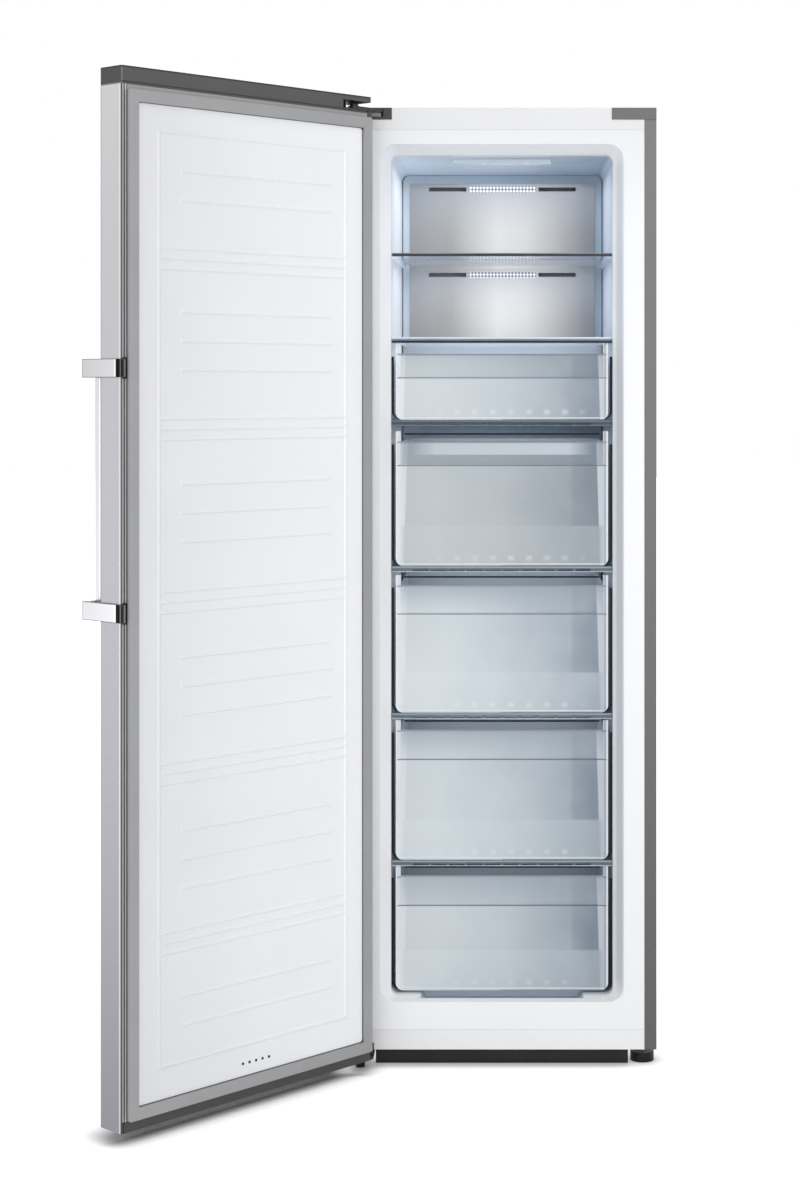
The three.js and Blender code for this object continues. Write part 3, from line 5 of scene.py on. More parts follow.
import bpy
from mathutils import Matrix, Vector


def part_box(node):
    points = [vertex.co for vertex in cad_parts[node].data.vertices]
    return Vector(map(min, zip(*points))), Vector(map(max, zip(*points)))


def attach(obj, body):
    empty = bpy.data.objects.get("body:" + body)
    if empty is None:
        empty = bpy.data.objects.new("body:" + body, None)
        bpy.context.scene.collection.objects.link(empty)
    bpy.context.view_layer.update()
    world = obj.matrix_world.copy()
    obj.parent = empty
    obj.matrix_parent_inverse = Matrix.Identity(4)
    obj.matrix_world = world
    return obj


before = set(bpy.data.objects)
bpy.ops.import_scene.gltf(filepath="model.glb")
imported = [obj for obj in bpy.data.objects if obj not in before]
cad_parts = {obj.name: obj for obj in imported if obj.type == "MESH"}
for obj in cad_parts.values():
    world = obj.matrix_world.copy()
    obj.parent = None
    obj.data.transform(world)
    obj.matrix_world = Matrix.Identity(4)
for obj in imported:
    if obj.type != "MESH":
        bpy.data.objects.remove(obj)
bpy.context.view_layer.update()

# ------------------------------------------------------------------ places, in metres

# The CAD's own offsets: the cabinet's middle and front plane in the part's frame, and the door's hinge.
CABINET_X = 0.2156516
CABINET_Y = -0.0438787
PIVOT = Vector((CABINET_X - 0.2815, CABINET_Y - 0.0438, 0))
DOOR_TURN = -math.radians(132.5)
HINGE_U = 0.016  # hinge axis from the door's side edge
HINGE_V = 0.0318  # hinge axis from the door's inner face

# On the door: u from its side edge on the hinge's side, v out from its inner face.
BRACKET_LEVELS = (1.3415, 0.9205)  # middles of the handle's brackets
DOOR_FACE = 0.0555  # v where the steel turns into the door's front
POCKET_BASE, POCKET_TOP = 1.8366, 1.8503  # the notch for the hinge in the top cap
CAP_BASE = 1.8318  # where the top cap's own face starts, over its lip

# In the cavity: x from the cabinet's middle, y back from its front plane.
MOUTH = 0.2145  # half the cavity's width
ROOF = 1.7575
SLOT_LEVELS = (1.729, 1.548)  # middles of the air slots
LAMP_DEPTH = 0.25

# On a drawer's front: x from its middle, heights up from its foot or down from its top.
TUB_FLOOR = 0.078  # up: the tub's floor, seen through the front
CREASES = (0.065, 0.065, 0.074, 0.075, 0.075)  # down: the crease under each front's grip
RIM_DROPS = {2: 0.003, 3: 0.0015, 4: 0, 5: 0}  # how far each grip's dark edge sits under its usual height
DOT_PITCH = 0.0175  # half the pitch of the glints along the foot

# Grains of the fine bumps.
PAINT_GRAIN = 0.0012
PLASTIC_GRAIN = 0.0007

# ------------------------------------------------------------------ colour and node helpers


def linear(r, g, b):
    """A colour read as 0-255 values, in linear light."""
    return tuple(((v / 255 + 0.055) / 1.055) ** 2.4 if v > 10 else v / 255 / 12.92 for v in (r, g, b))


def grey(value):
    return linear(value, value, value)


class Shader:
    """A material with a Principled shader and short calls for the nodes that feed it."""

    def __init__(self, name, rough=0.5, metal=0.0, **sockets):
        self.mat = bpy.data.materials.new(name)
        self.mat.use_nodes = True
        self.tree = self.mat.node_tree
        self.bsdf = self.tree.nodes["Principled BSDF"]
        self.bsdf.inputs["Roughness"].default_value = rough
        self.bsdf.inputs["Metallic"].default_value = metal
        for socket, value in sockets.items():
            self.bsdf.inputs[socket.replace("_", " ")].default_value = value
        self.coords = self.node("ShaderNodeTexCoord").outputs["Object"]

    def node(self, kind, inputs=None, **props):
        made = self.tree.nodes.new(kind)
        for key, value in props.items():
            setattr(made, key, value)
        for key, value in (inputs or {}).items():
            if isinstance(value, bpy.types.NodeSocket):
                self.tree.links.new(value, made.inputs[key])
            else:
                made.inputs[key].default_value = value
        return made

    def link(self, output, socket):
        self.tree.links.new(output, self.bsdf.inputs[socket])

    def mapped(self, **inputs):
        return self.node("ShaderNodeMapping", {"Vector": self.coords, **inputs}).outputs[0]

    def axis(self, name):
        return self.node("ShaderNodeSeparateXYZ", {0: self.coords}).outputs[name]

    def cabinet_coords(self):
        """Coordinates from the cabinet's middle and its front plane."""
        self.coords = self.mapped(Location=(-CABINET_X, -CABINET_Y, 0))
        return self

    def door_coords(self):
        """Coordinates that turn with the door: X along it from the hinge axis, Y through it."""
        self.coords = self.mapped(Location=-PIVOT)
        self.coords = self.mapped(Rotation=(0, 0, -DOOR_TURN))
        return self

    def door_axes(self):
        """u, v and z on the door, for a shader with its coordinates."""
        u = self.maths("ADD", self.axis("X"), HINGE_U)
        v = self.maths("SUBTRACT", HINGE_V, self.axis("Y"))
        return u, v, self.axis("Z")

    def noise(self, size, detail=3.0, stretch=(1, 1, 1), rough=0.5):
        """Noise whose grains are about `size` metres across."""
        place = self.mapped(Scale=stretch)
        inputs = {"Vector": place, "Scale": 1 / size, "Detail": detail, "Roughness": rough}
        return self.node("ShaderNodeTexNoise", inputs).outputs[0]

    def ramp(self, value, stops):
        made = self.node("ShaderNodeValToRGB", {"Fac": value})
        elements = made.color_ramp.elements
        while len(elements) < len(stops):
            elements.new(0.5)
        for element, (place, color) in zip(elements, stops):
            element.position = place
            element.color = (*color, 1)
        return made.outputs[0]

    def zones(self, value, stops):
        """Colours along a length, given at places in metres."""
        low, high = stops[0][0], stops[-1][0]
        along = self.spread(value, 0.0, 1.0, low, high)
        return self.ramp(along, [((place - low) / (high - low), color) for place, color in stops])

    def maths(self, operation, a, b=0.0):
        return self.node("ShaderNodeMath", {0: a, 1: b}, operation=operation).outputs[0]

    def away(self, value, place):
        """The distance from a place, on either side of it."""
        return self.maths("ABSOLUTE", self.maths("SUBTRACT", value, place))

    def spread(self, value, low, high, from_low=0.3, from_high=0.7):
        """`low` up to from_low, `high` from from_high on, and a straight run between them."""
        inputs = {0: value, 1: from_low, 2: from_high, 3: low, 4: high}
        return self.node("ShaderNodeMapRange", inputs).outputs[0]

    def window(self, value, low, high, soft=0.0003):
        """1 between two places, 0 outside, with soft edges."""
        rise = self.spread(value, 0.0, 1.0, low - soft, low + soft)
        fall = self.spread(value, 1.0, 0.0, high - soft, high + soft)
        return self.maths("MULTIPLY", rise, fall)

    def both(self, *masks):
        product = masks[0]
        for mask in masks[1:]:
            product = self.maths("MULTIPLY", product, mask)
        return product

    def blend(self, mask, below, above):
        """`above` over `below` where the mask is 1."""
        made = self.node("ShaderNodeMix", {0: mask}, data_type="RGBA")
        for place, value in ((6, below), (7, above)):
            if isinstance(value, bpy.types.NodeSocket):
                self.tree.links.new(value, made.inputs[place])
            else:
                made.inputs[place].default_value = (*value, 1)
        return made.outputs[2]

    def veil(self, mask, share, below, above):
        """A share of `above` over `below` where the mask is 1."""
        return self.blend(self.maths("MULTIPLY", mask, share), below, above)

    def drift(self, color, vary=0.03, size=0.12):
        """A colour with a slow drift of light and dark."""
        dark = tuple(c * (1 - vary) for c in color)
        bright = tuple(min(1, c * (1 + vary)) for c in color)
        return self.ramp(self.noise(size), [(0.3, dark), (0.7, bright)])

    def tint(self, color, vary=0.03, size=0.12):
        self.link(self.drift(color, vary, size), "Base Color")
        return self

    def roughen(self, low, high, size=0.05):
        self.link(self.spread(self.noise(size), low, high), "Roughness")
        return self

    def bump(self, height, strength=0.2, distance=0.0003):
        inputs = {"Height": height, "Strength": strength, "Distance": distance}
        self.link(self.node("ShaderNodeBump", inputs).outputs[0], "Normal")
        return self

    def paint_bump(self, strength=0.06):
        """The fine unevenness of paint and smooth plastic."""
        return self.bump(self.noise(PAINT_GRAIN, 2), strength, 0.0002)


# ------------------------------------------------------------------ plain materials


def painted(name, color, rough=0.4, vary=0.02):
    made = Shader(name, rough, Coat_Weight=0.15, Coat_Roughness=0.25)
    return made.tint(color, vary).roughen(rough - 0.06, rough + 0.06).paint_bump()


def moulded(name, color, rough=0.5, vary=0.04, grain=PLASTIC_GRAIN, strength=0.15, shine=0.4):
    made = Shader(name, rough, Specular_IOR_Level=shine)
    made.tint(color, vary, 0.08).roughen(rough - 0.07, rough + 0.07)
    return made.bump(made.noise(grain, 2), strength, 0.0002)


def brushed(name, color, rough=0.3, grain=(1, 1, 60), door=True):
    """Steel or alloy with fine lines; on the door they turn with it."""
    made = Shader(name, rough, 1.0)
    if door:
        made.door_coords()
    lines = made.noise(0.02, 6, grain, 0.7)
    dark = tuple(c * 0.9 for c in color)
    bright = tuple(min(1, c * 1.08) for c in color)
    made.link(made.ramp(lines, [(0.3, dark), (0.7, bright)]), "Base Color")
    made.link(made.spread(lines, rough - 0.06, rough + 0.1), "Roughness")
    return made.bump(lines, 0.08, 0.0002)


def clear(name, color, alpha, rough):
    made = Shader(name, rough, Alpha=alpha, IOR=1.5)
    made.tint(color, 0.03, 0.15).roughen(rough * 0.85, rough * 1.15, 0.04)
    return made.bump(made.noise(0.03, 2), 0.03, 0.0005)


def metal_sheet(name, color):
    """Zinc-coated sheet with its patchy crystals."""
    made = Shader(name, 0.45, 0.9)
    cells = made.node("ShaderNodeTexVoronoi", {"Vector": made.coords, "Scale": 90.0}).outputs["Distance"]
    dark = tuple(c * 0.85 for c in color)
    made.link(made.ramp(cells, [(0.1, dark), (0.7, color)]), "Base Color")
    made.link(made.spread(cells, 0.36, 0.55, 0.1, 0.7), "Roughness")
    return made.bump(cells, 0.03, 0.0002)


# ------------------------------------------------------------------ materials of the cabinet


def case_sides():
    """Grey paint, with painted shade darkening it towards the foot."""
    made = Shader("case_paint", 0.42, Coat_Weight=0.15, Coat_Roughness=0.25)
    height = made.maths("ADD", made.axis("Z"), made.spread(made.noise(0.3), -0.04, 0.04))
    made.link(made.zones(height, [(0.0, grey(82)), (0.9, grey(93)), (1.85, grey(113))]), "Base Color")
    return made.roughen(0.41, 0.44).paint_bump()


def cavity_liner():
    """White plastic, with painted light and shade on the flange round the mouth, painted bluish shade inside
    the cavity, and painted shade in the trough under the lowest drawer.
    """
    made = Shader("liner", 0.34, Coat_Weight=0.12, Coat_Roughness=0.25).cabinet_coords()
    x, y, z = (made.axis(name) for name in "XYZ")

    # the flange round the mouth: painted light brightest to the left, painted shade on the bevel at its
    # right and over the top
    drift = made.maths("ADD", x, made.spread(made.noise(0.15), -0.01, 0.01))
    white = made.zones(drift, [
        (-0.26, linear(252, 252, 253)), (0.0, grey(244)), (0.26, linear(243, 243, 244)),
    ])
    bevel = made.both(made.window(x, 0.2205, 0.2335, 0.003), made.window(z, 0.15, 1.75, 0.02))
    white = made.veil(bevel, 0.8, white, linear(196, 201, 207))
    white = made.blend(made.spread(z, 0.0, 0.6, 1.6, 1.8), white, linear(228, 229, 231))

    # the walls, the roof and the strip of the back wall over the duct's cover, in painted bluish shade that
    # deepens to the right
    walls = made.zones(x, [
        (-MOUTH, linear(250, 252, 255)), (-0.19, linear(240, 245, 250)),
        (0.19, linear(184, 195, 206)), (MOUTH, linear(206, 217, 228)),
    ])
    roof = made.zones(x, [
        (-0.2, linear(222, 232, 240)), (0.0, linear(180, 193, 204)), (0.2, linear(158, 172, 184)),
    ])
    inside = made.blend(made.spread(z, 0.0, 1.0, ROOF - 0.0055, ROOF), walls, roof)
    back = made.both(made.spread(y, 0.0, 1.0, 0.425, 0.440), made.spread(z, 0.0, 0.8, 1.730, 1.742))
    inside = made.blend(back, inside, linear(160, 173, 185))
    color = made.blend(made.spread(y, 0.0, 1.0, 0.02, 0.07), white, inside)

    # painted bluish shade in the trough under the lowest drawer
    low = made.spread(z, 1.0, 0.0, 0.1315, 0.1325)
    trough = made.both(made.window(x, -0.159, 0.159), made.window(y, 0.0145, 0.078), low)
    made.link(made.blend(trough, color, linear(206, 216, 228)), "Base Color")
    return made.roughen(0.28, 0.4).paint_bump(0.05)


def cover_of_duct():
    """The plastic round the steel panel, in painted shade across it like the roof's above it, with painted
    light behind the top drawer and painted shade low down, over the step.
    """
    made = Shader("duct_cover", 0.45, Specular_IOR_Level=0.3).cabinet_coords()
    z = made.axis("Z")
    across = made.maths("ADD", made.axis("X"), made.spread(made.noise(0.08), -0.01, 0.01))
    color = made.zones(across, [
        (-0.21, linear(206, 215, 224)), (-0.16, linear(176, 189, 201)), (0.0, linear(166, 180, 192)),
        (0.17, linear(146, 161, 174)), (0.21, linear(160, 175, 188)),
    ])
    # painted light where the top drawer's header shows the cover
    light_behind_top_drawer = made.window(z, 1.25, 1.41, 0.01)
    color = made.blend(light_behind_top_drawer, color, linear(222, 230, 237))
    # painted shade low down, over the step
    shade_over_step = made.spread(z, 1.0, 0.0, 0.44, 0.46)
    made.link(made.blend(shade_over_step, color, linear(126, 141, 155)), "Base Color")
    return made.roughen(0.4, 0.5).paint_bump()


def duct_steel():
    """The panel behind the shelves: vertical grain, a painted highlight down its middle and painted shade
    over its upper part, with pricked strips.
    """
    made = Shader("duct_steel", 0.42, 0.3, Specular_IOR_Level=0.3).cabinet_coords()
    x, z = made.axis("X"), made.axis("Z")
    grain = made.noise(0.02, 5, (60, 1, 0.6), 0.7)
    across = made.maths("ADD", x, made.spread(grain, -0.005, 0.005))
    # painted highlight down the middle, fading to painted shade at the sides
    color = made.zones(across, [
        (-0.196, linear(152, 152, 152)), (-0.11, linear(154, 153, 150)), (-0.01, linear(206, 204, 199)),
        (0.05, linear(200, 198, 193)), (0.14, linear(158, 157, 156)), (0.175, linear(134, 137, 140)),
        (0.196, linear(130, 136, 142)),
    ])
    # painted shade over the upper part
    color = made.blend(made.spread(z, 0.0, 0.35, 1.56, 1.70), color, grey(120))
    diagonal = made.mapped(Rotation=(0, math.pi / 4, 0))
    weave = made.node("ShaderNodeTexChecker", {"Vector": diagonal, "Scale": 200.0}).outputs["Fac"]
    pricks = made.blend(weave, linear(240, 241, 243), linear(128, 134, 142))
    for level in SLOT_LEVELS:
        under = made.spread(z, 0.0, 1.0, level - 0.09, level + 0.01)
        over = made.spread(z, 1.0, 0.0, level, level + 0.02)
        color = made.veil(made.both(under, over), 0.45, color, linear(172, 178, 188))
        height = made.window(z, level - 0.0065, level + 0.0065, 0.0008)
        color = made.blend(made.both(made.window(x, -0.07, 0.071, 0.001), height), color, pricks)
    made.link(color, "Base Color")
    made.link(made.spread(grain, 0.3, 0.44), "Roughness")
    return made.bump(grain, 0.05, 0.0002)


def shelf_glass(name, start, frost):
    """Pale toughened glass, frosted from `start` back, with a white seal along its back edge."""
    made = Shader(name, 0.08, IOR=1.5).cabinet_coords()
    y = made.axis("Y")
    seal = made.spread(y, 0.0, 1.0, 0.4275, 0.4285)
    body = made.drift(linear(205, 214, 230), 0.03, 0.2)
    made.link(made.blend(seal, body, linear(240, 243, 248)), "Base Color")
    frosting = made.spread(y, 0.3, frost, start - 0.004, start + 0.004)
    made.link(made.maths("MAXIMUM", frosting, made.spread(seal, 0.0, 0.95, 0.0, 1.0)), "Alpha")
    made.roughen(0.05, 0.12, 0.04)
    return made.bump(made.noise(0.03, 2), 0.02, 0.0005)


# Bands of colour by height that paint highlights and shade across each trim's clear front, from its foot to
# its top.
TOP_TRIM = (  # heights over the trim's foot, where the last is its top, and the colours there
    (0.0, grey(46)), (0.004, grey(64)), (0.0048, linear(120, 128, 140)), (None, linear(150, 160, 172)),
)
SECOND_TRIM = (
    (0.0, linear(20, 30, 40)), (0.0036, linear(26, 37, 47)), (0.0046, linear(108, 122, 134)),
    (0.0070, linear(128, 140, 152)), (0.0085, linear(206, 218, 228)), (None, linear(232, 240, 247)),
)
THIRD_TRIM = (
    (0.0, linear(118, 130, 142)), (0.002, linear(86, 98, 110)), (0.004, linear(66, 78, 90)),
    (0.007, linear(62, 74, 86)), (0.008, linear(104, 116, 128)), (0.010, linear(112, 124, 136)),
    (None, linear(56, 68, 80)),
)
LOWER_TRIM = (
    (0.0, linear(216, 226, 234)), (0.001, linear(160, 172, 182)), (0.0025, linear(94, 106, 114)),
    (0.006, linear(98, 110, 118)), (0.008, linear(126, 138, 146)), (0.0095, linear(176, 188, 197)),
    (None, linear(84, 95, 104)),
)


def trim(n, bands):
    """A shelf's front bar, in bands of painted highlight and painted shade by height."""
    foot, top = (corner[2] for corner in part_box(f"shelf_{n}_trim"))
    made = Shader(f"trim_{n}", 0.22, Specular_IOR_Level=0.15)
    z = made.maths("ADD", made.axis("Z"), made.spread(made.noise(0.06), -0.0003, 0.0003))
    stops = [(top if height is None else foot + height, color) for height, color in bands]
    made.link(made.zones(z, stops), "Base Color")
    made.roughen(0.16, 0.3)
    return made.bump(made.noise(0.02, 2), 0.03, 0.0004)


def foot_look():
    """Black plastic disc under a bright threaded stud."""
    made = Shader("foot", 0.5, Specular_IOR_Level=0.25)
    stud = made.spread(made.axis("Z"), 0.0, 1.0, 0.0178, 0.0184)
    made.link(made.blend(stud, made.drift(grey(16), 0.08), grey(176)), "Base Color")
    made.link(stud, "Metallic")
    made.roughen(0.4, 0.55)
    waves = made.node("ShaderNodeTexWave", {"Vector": made.coords, "Scale": 125.0}, bands_direction="Z")
    return made.bump(made.maths("MULTIPLY", waves.outputs["Fac"], stud), 0.6, 0.0006)


def plate_look():
    """Black hinge plate with bright screw heads."""
    made = Shader("hinge_plate", 0.35, Coat_Weight=0.1)
    head = made.spread(made.axis("Z"), 0.0, 1.0, 1.8369, 1.8371)
    made.link(made.blend(head, made.drift(grey(40), 0.06), grey(120)), "Base Color")
    made.link(head, "Metallic")
    return made.roughen(0.28, 0.42).paint_bump()


def hinge_look():
    """Black hinge with a light grey underside."""
    made = Shader("top_hinge", 0.38, Coat_Weight=0.1)
    under = made.spread(made.axis("Z"), 1.0, 0.0, 1.8378, 1.8382)
    made.link(made.blend(under, made.drift(grey(40), 0.06), grey(176)), "Base Color")
    return made.roughen(0.3, 0.44).paint_bump()


# ------------------------------------------------------------------ materials of the door


def liner_of_door():
    """White raised field; the border round it, where the seal sits, is grey."""
    made = Shader("door_liner", 0.38, Coat_Weight=0.12, Coat_Roughness=0.25).door_coords()
    u, _, z = made.door_axes()
    field = made.both(made.window(u, 0.0308, 0.5642), made.window(z, 0.0728, 1.7982))
    across = made.maths("ADD", u, made.spread(made.noise(0.2), -0.03, 0.03))
    # painted shade greying the white towards the free edge
    white = made.zones(across, [
        (0.05, linear(247, 247, 248)), (0.3, linear(238, 238, 240)), (0.55, linear(225, 225, 228)),
    ])
    made.link(made.blend(field, made.drift(grey(158), 0.02), white), "Base Color")
    return made.roughen(0.32, 0.44).paint_bump(0.05)


def skin_of_door():
    """Brushed steel: painted shade darker towards the foot, a painted highlight along its edge, and painted
    stripes of reflection and shade down its return by the seal, with painted shadow next to the brackets.
    """
    made = Shader("door_skin", 0.3, 1.0).door_coords()
    u, v, z = made.door_axes()
    lines = made.noise(0.02, 6, (1, 1, 60), 0.7)
    # painted shade: the side face darker towards the foot, and the front face a flat grey of painted shade
    tone = made.zones(z, [
        (0.0, linear(140, 139, 144)), (0.9, linear(178, 177, 182)), (1.83, linear(216, 216, 219)),
    ])
    tone = made.blend(made.spread(v, 0.0, 1.0, DOOR_FACE, DOOR_FACE + 0.0007), tone, linear(158, 158, 161))
    steel = made.blend(made.spread(lines, 0.0, 0.3), tone, linear(128, 128, 132))
    # a painted highlight along the edge by the inner face
    steel = made.veil(made.window(v, 0.0035, 0.0065, 0.001), 0.5, steel, grey(250))
    # painted stripes of reflection and shade down the return, with painted shadow next to each bracket
    inner = made.zones(u, [
        (0.5800, grey(60)), (0.5842, grey(56)), (0.5848, grey(196)), (0.5874, grey(206)),
        (0.5880, grey(56)), (0.5900, grey(56)), (0.5907, grey(176)), (0.5926, grey(160)),
        (0.5933, grey(56)), (0.5950, grey(48)),
    ])
    for level in BRACKET_LEVELS:
        bracket_shadow = made.spread(made.away(z, level), 1.0, 0.0, 0.0170, 0.0200)
        inner = made.blend(bracket_shadow, inner, grey(14))
    turned = made.spread(v, 1.0, 0.0, 0.0024, 0.0028)
    made.link(made.blend(turned, steel, inner), "Base Color")
    made.link(made.maths("SUBTRACT", 1.0, turned), "Metallic")
    made.link(made.spread(lines, 0.24, 0.4), "Roughness")
    return made.bump(lines, 0.08, 0.0002)


def cap_of_door():
    """Dark cap: its end a shade darker, a painted highlight down the corner and the foot, and painted shade,
    nearly black, in the notch.
    """
    made = Shader("door_top_cap", 0.42, Specular_IOR_Level=0.4).door_coords()
    u, v, z = made.door_axes()
    end = made.spread(u, 0.0, 1.0, 0.5945, 0.5949)
    at_inner_edge = made.spread(v, 1.0, 0.0, 0.0008, 0.0022)
    color = made.blend(end, made.drift(grey(80)), grey(64))
    # a painted highlight down the corner and along the foot
    corner = made.both(made.spread(u, 0.0, 1.0, 0.5925, 0.5938), at_inner_edge)
    foot = made.both(end, made.spread(z, 1.0, 0.0, CAP_BASE - 0.0013, CAP_BASE))
    color = made.blend(made.maths("MAXIMUM", corner, foot), color, grey(128))
    lip = made.both(at_inner_edge, made.window(z, CAP_BASE, CAP_BASE + 0.0022, 0.0004))
    ridge = made.spread(z, 0.0, 1.0, 1.8565, 1.8585)
    color = made.blend(made.maths("MAXIMUM", lip, ridge), color, grey(38))
    # painted shade, nearly black, in the notch for the hinge
    notch = made.both(
        made.spread(u, 1.0, 0.0, 0.0845, 0.0850), made.spread(v, 0.0, 1.0, 0.001, 0.002),
        made.window(z, POCKET_BASE, POCKET_TOP, 0.0002),
    )
    made.link(made.blend(notch, color, grey(16)), "Base Color")
    made.roughen(0.36, 0.5)
    return made.bump(made.noise(PLASTIC_GRAIN, 2), 0.15, 0.0002)


def bracket_chrome():
    """Satin chrome, with painted stripes of shade and reflection where the bracket turns round the door's
    edge and on its return, and painted dark outlines along its edges.
    """
    made = Shader("bracket_chrome", 0.2, 1.0).door_coords()
    u, v, z = made.door_axes()
    lines = made.noise(0.02, 5, (1, 1, 40), 0.7)
    arm = made.zones(made.maths("ADD", v, made.spread(lines, -0.004, 0.004)), [
        (0.015, linear(216, 215, 220)), (0.06, linear(210, 209, 214)), (0.104, grey(204)),
    ])
    # painted shade and reflection in stripes where the plate turns round the door's edge
    plate = made.zones(v, [
        (-0.0045, grey(120)), (-0.0012, grey(110)), (-0.0005, grey(12)), (0.0100, grey(8)),
        (0.0112, grey(248)), (0.0140, grey(248)), (0.0160, grey(216)),
    ])
    color = made.blend(made.spread(v, 1.0, 0.0, 0.0150, 0.0160), arm, plate)
    # painted reflection and shade on the return
    hook = made.zones(u, [
        (0.5850, grey(40)), (0.5866, grey(60)), (0.5874, grey(176)), (0.5915, grey(160)),
        (0.5930, grey(70)), (0.5960, grey(40)),
    ])
    color = made.blend(made.spread(v, 1.0, 0.0, -0.0034, -0.0030), color, hook)
    # painted dark outlines of shade along the edges
    rim_shade = made.window(v, 0.1024, 0.1034)
    for level in BRACKET_LEVELS:
        rim_shade = made.maths("MAXIMUM", rim_shade, made.window(made.away(z, level), 0.0151, 0.0170))
    made.link(made.blend(rim_shade, color, grey(40)), "Base Color")
    made.link(made.maths("SUBTRACT", 1.0, rim_shade), "Metallic")
    made.link(made.spread(lines, 0.14, 0.28), "Roughness")
    return made.bump(lines, 0.05, 0.0002)


# ------------------------------------------------------------------ materials of the drawers

# The fronts' tones paint the light and shade of what shows through: pale at the left, deepening painted
# shade to the right, each front dimmed by painted shade, and more painted shade over each grip.
TONES = ((224, 232, 236), (206, 215, 221), (130, 145, 158))  # of a front at its left, middle and right
DIMMED = (0.04, 0.115, 0.0, 0.0, 0.01)  # how much darker each front is than the palest
SHADES = (  # how much of the deep tone lies under the crease, over it and at the top of each front
    (0.0, 0.05, 0.15), (0.0, 0.5, 0.5), (0.15, 0.08, 0.55), (0.1, 0.18, 0.6), (0.0, 0.3, 0.55),
)


def drawer_front(n, foot, top):
    """Clear plastic, in painted light and shade of what shows through: pale at its left, deeper painted
    shade at its right, lighter where the tub's floor shows through.
    """
    left, middle, deep = (linear(*(value * (1 - DIMMED[n - 1]) for value in tone)) for tone in TONES)
    level = foot + TUB_FLOOR
    crease = top - CREASES[n - 1]
    made = Shader(f"drawer_front_{n}", 0.16, IOR=1.5).cabinet_coords()
    x, z = made.axis("X"), made.axis("Z")
    side = made.maths("ABSOLUTE", x)
    right = made.spread(x, 0.0, 1.0, -0.001, 0.001)
    cloud = made.noise(0.1, 2)
    across = made.maths("ADD", x, made.spread(cloud, -0.02, 0.02))

    # what shows through: the tub's back, its side walls, and its floor, painted pale to the left and in
    # deepening shade to the right, with a painted shade patch above the floor at the right
    between = tuple(a * 0.45 + b * 0.55 for a, b in zip(middle, deep))
    color = made.zones(across, [(-0.13, left), (0.0, middle), (0.13, between), (0.18, deep)])
    over_floor = made.spread(z, 0.0, 1.0, level - 0.001, level + 0.001)
    corner = made.both(made.window(x, 0.136, 0.187, 0.003), over_floor)
    color = made.veil(corner, 0.35, color, deep)
    wall = made.blend(right, linear(246, 249, 252), linear(208, 216, 224))
    flare = made.maths("ADD", side, made.maths("MULTIPLY", made.maths("SUBTRACT", z, level), 0.03))
    wedge = made.both(made.spread(flare, 0.0, 1.0, 0.1875, 0.1895), made.spread(right, 0.55, 0.9, 0.0, 1.0))
    color = made.blend(wedge, color, wall)
    if n > 1:
        floor_tone = made.zones(across, [(-0.13, left), (0.0, middle), (0.18, between)])
        color = made.veil(made.spread(z, 1.0, 0.0, level - 0.002, level + 0.002), 0.8, color, floor_tone)
    color = made.blend(made.spread(side, 0.0, 0.8, 0.190, 0.199), color, wall)

    # the grip and the painted shade on it, a painted light strip on the second front, and painted shade in
    # the crease and along the grip's top edge
    shades = [(share,) * 3 for share in SHADES[n - 1]]
    grip_shade = made.zones(z, [
        (level, grey(0)), (crease - 0.001, shades[0]), (crease + 0.001, shades[1]), (top - 0.024, shades[2]),
    ])
    off_walls = made.spread(side, 1.0, 0.3, 0.190, 0.198)
    color = made.blend(made.both(grip_shade, off_walls), color, linear(128, 144, 158))
    if n == 2:
        height = made.window(z, crease + 0.019, top - 0.022, 0.0012)
        light_strip = made.both(height, made.spread(side, 1.0, 0.0, 0.130, 0.176))
        color = made.veil(light_strip, 0.7, color, linear(224, 231, 237))
    crease_shade = made.window(z, crease - 0.0030, crease - 0.0008, 0.0004)
    color = made.veil(crease_shade, 0.85, color, linear(72, 88, 102))
    rim = made.window(z, top - 0.0235, top - 0.0195, 0.0006)
    color = made.veil(rim, 0.6, color, linear(110, 126, 140))

    # painted highlight and painted shade lines round the edge, and painted glints along the foot
    bright = made.maths("MAXIMUM", made.window(side, 0.2030, 0.2072, 0.0004),
                        made.window(z, foot + 0.0028, foot + 0.005, 0.0005))
    color = made.veil(bright, 0.8, color, linear(250, 252, 253))
    dark = made.maths("MAXIMUM", made.window(side, 0.1985, 0.2020, 0.0008),
                      made.spread(z, 1.0, 0.0, foot + 0.0012, foot + 0.0022))
    color = made.veil(made.both(dark, right), 0.45, color, linear(96, 112, 128))
    glint = made.both(
        made.spread(made.maths("PINGPONG", x, DOT_PITCH), 0.0, 1.0, 0.009, 0.0145),
        made.window(z, foot + 0.0125, foot + 0.0185, 0.0045),
        made.spread(x, 0.0, 1.0, -0.16, -0.06), made.spread(x, 1.0, 0.0, 0.12, 0.17),
        made.spread(cloud, 0.3, 1.0),
    )
    made.link(made.veil(glint, 0.65, color, linear(246, 250, 251)), "Base Color")
    made.link(made.spread(z, 0.86, 0.82, level - 0.001, level + 0.001), "Alpha")
    made.roughen(0.1, 0.22)
    return made.bump(made.noise(0.02, 2), 0.03, 0.0004)


# ------------------------------------------------------------------ a material for every CAD node

white_paint = painted("white_paint", grey(240), 0.36, 0.01)
foam = moulded("foam", linear(226, 210, 160), 0.9, 0.08, 0.002, 0.6)
zinc = metal_sheet("zinc", linear(168, 170, 172))
dark_cover = moulded("dark_cover", grey(50), 0.42)
black_plastic = moulded("black_plastic", grey(26), 0.5, shine=0.25)
black_paint = painted("black_paint", grey(32), 0.4, 0.06)
chrome = bracket_chrome()
tub_plastic = clear("tub_plastic", linear(222, 231, 240), 0.6, 0.25)
white_plastic = moulded("white_plastic", linear(228, 233, 239), 0.4, 0.02)
# dark plastic for the strips that stand in for shade along the drawers' edges
shade_strip_plastic = moulded("shade_strip_plastic", linear(24, 34, 46), 0.35, 0.2, shine=0.12)
foot_plastic = foot_look()
top_glass = shelf_glass("top_glass", 0.226, 0.75)
glass = shelf_glass("glass", 0.1, 0.35)

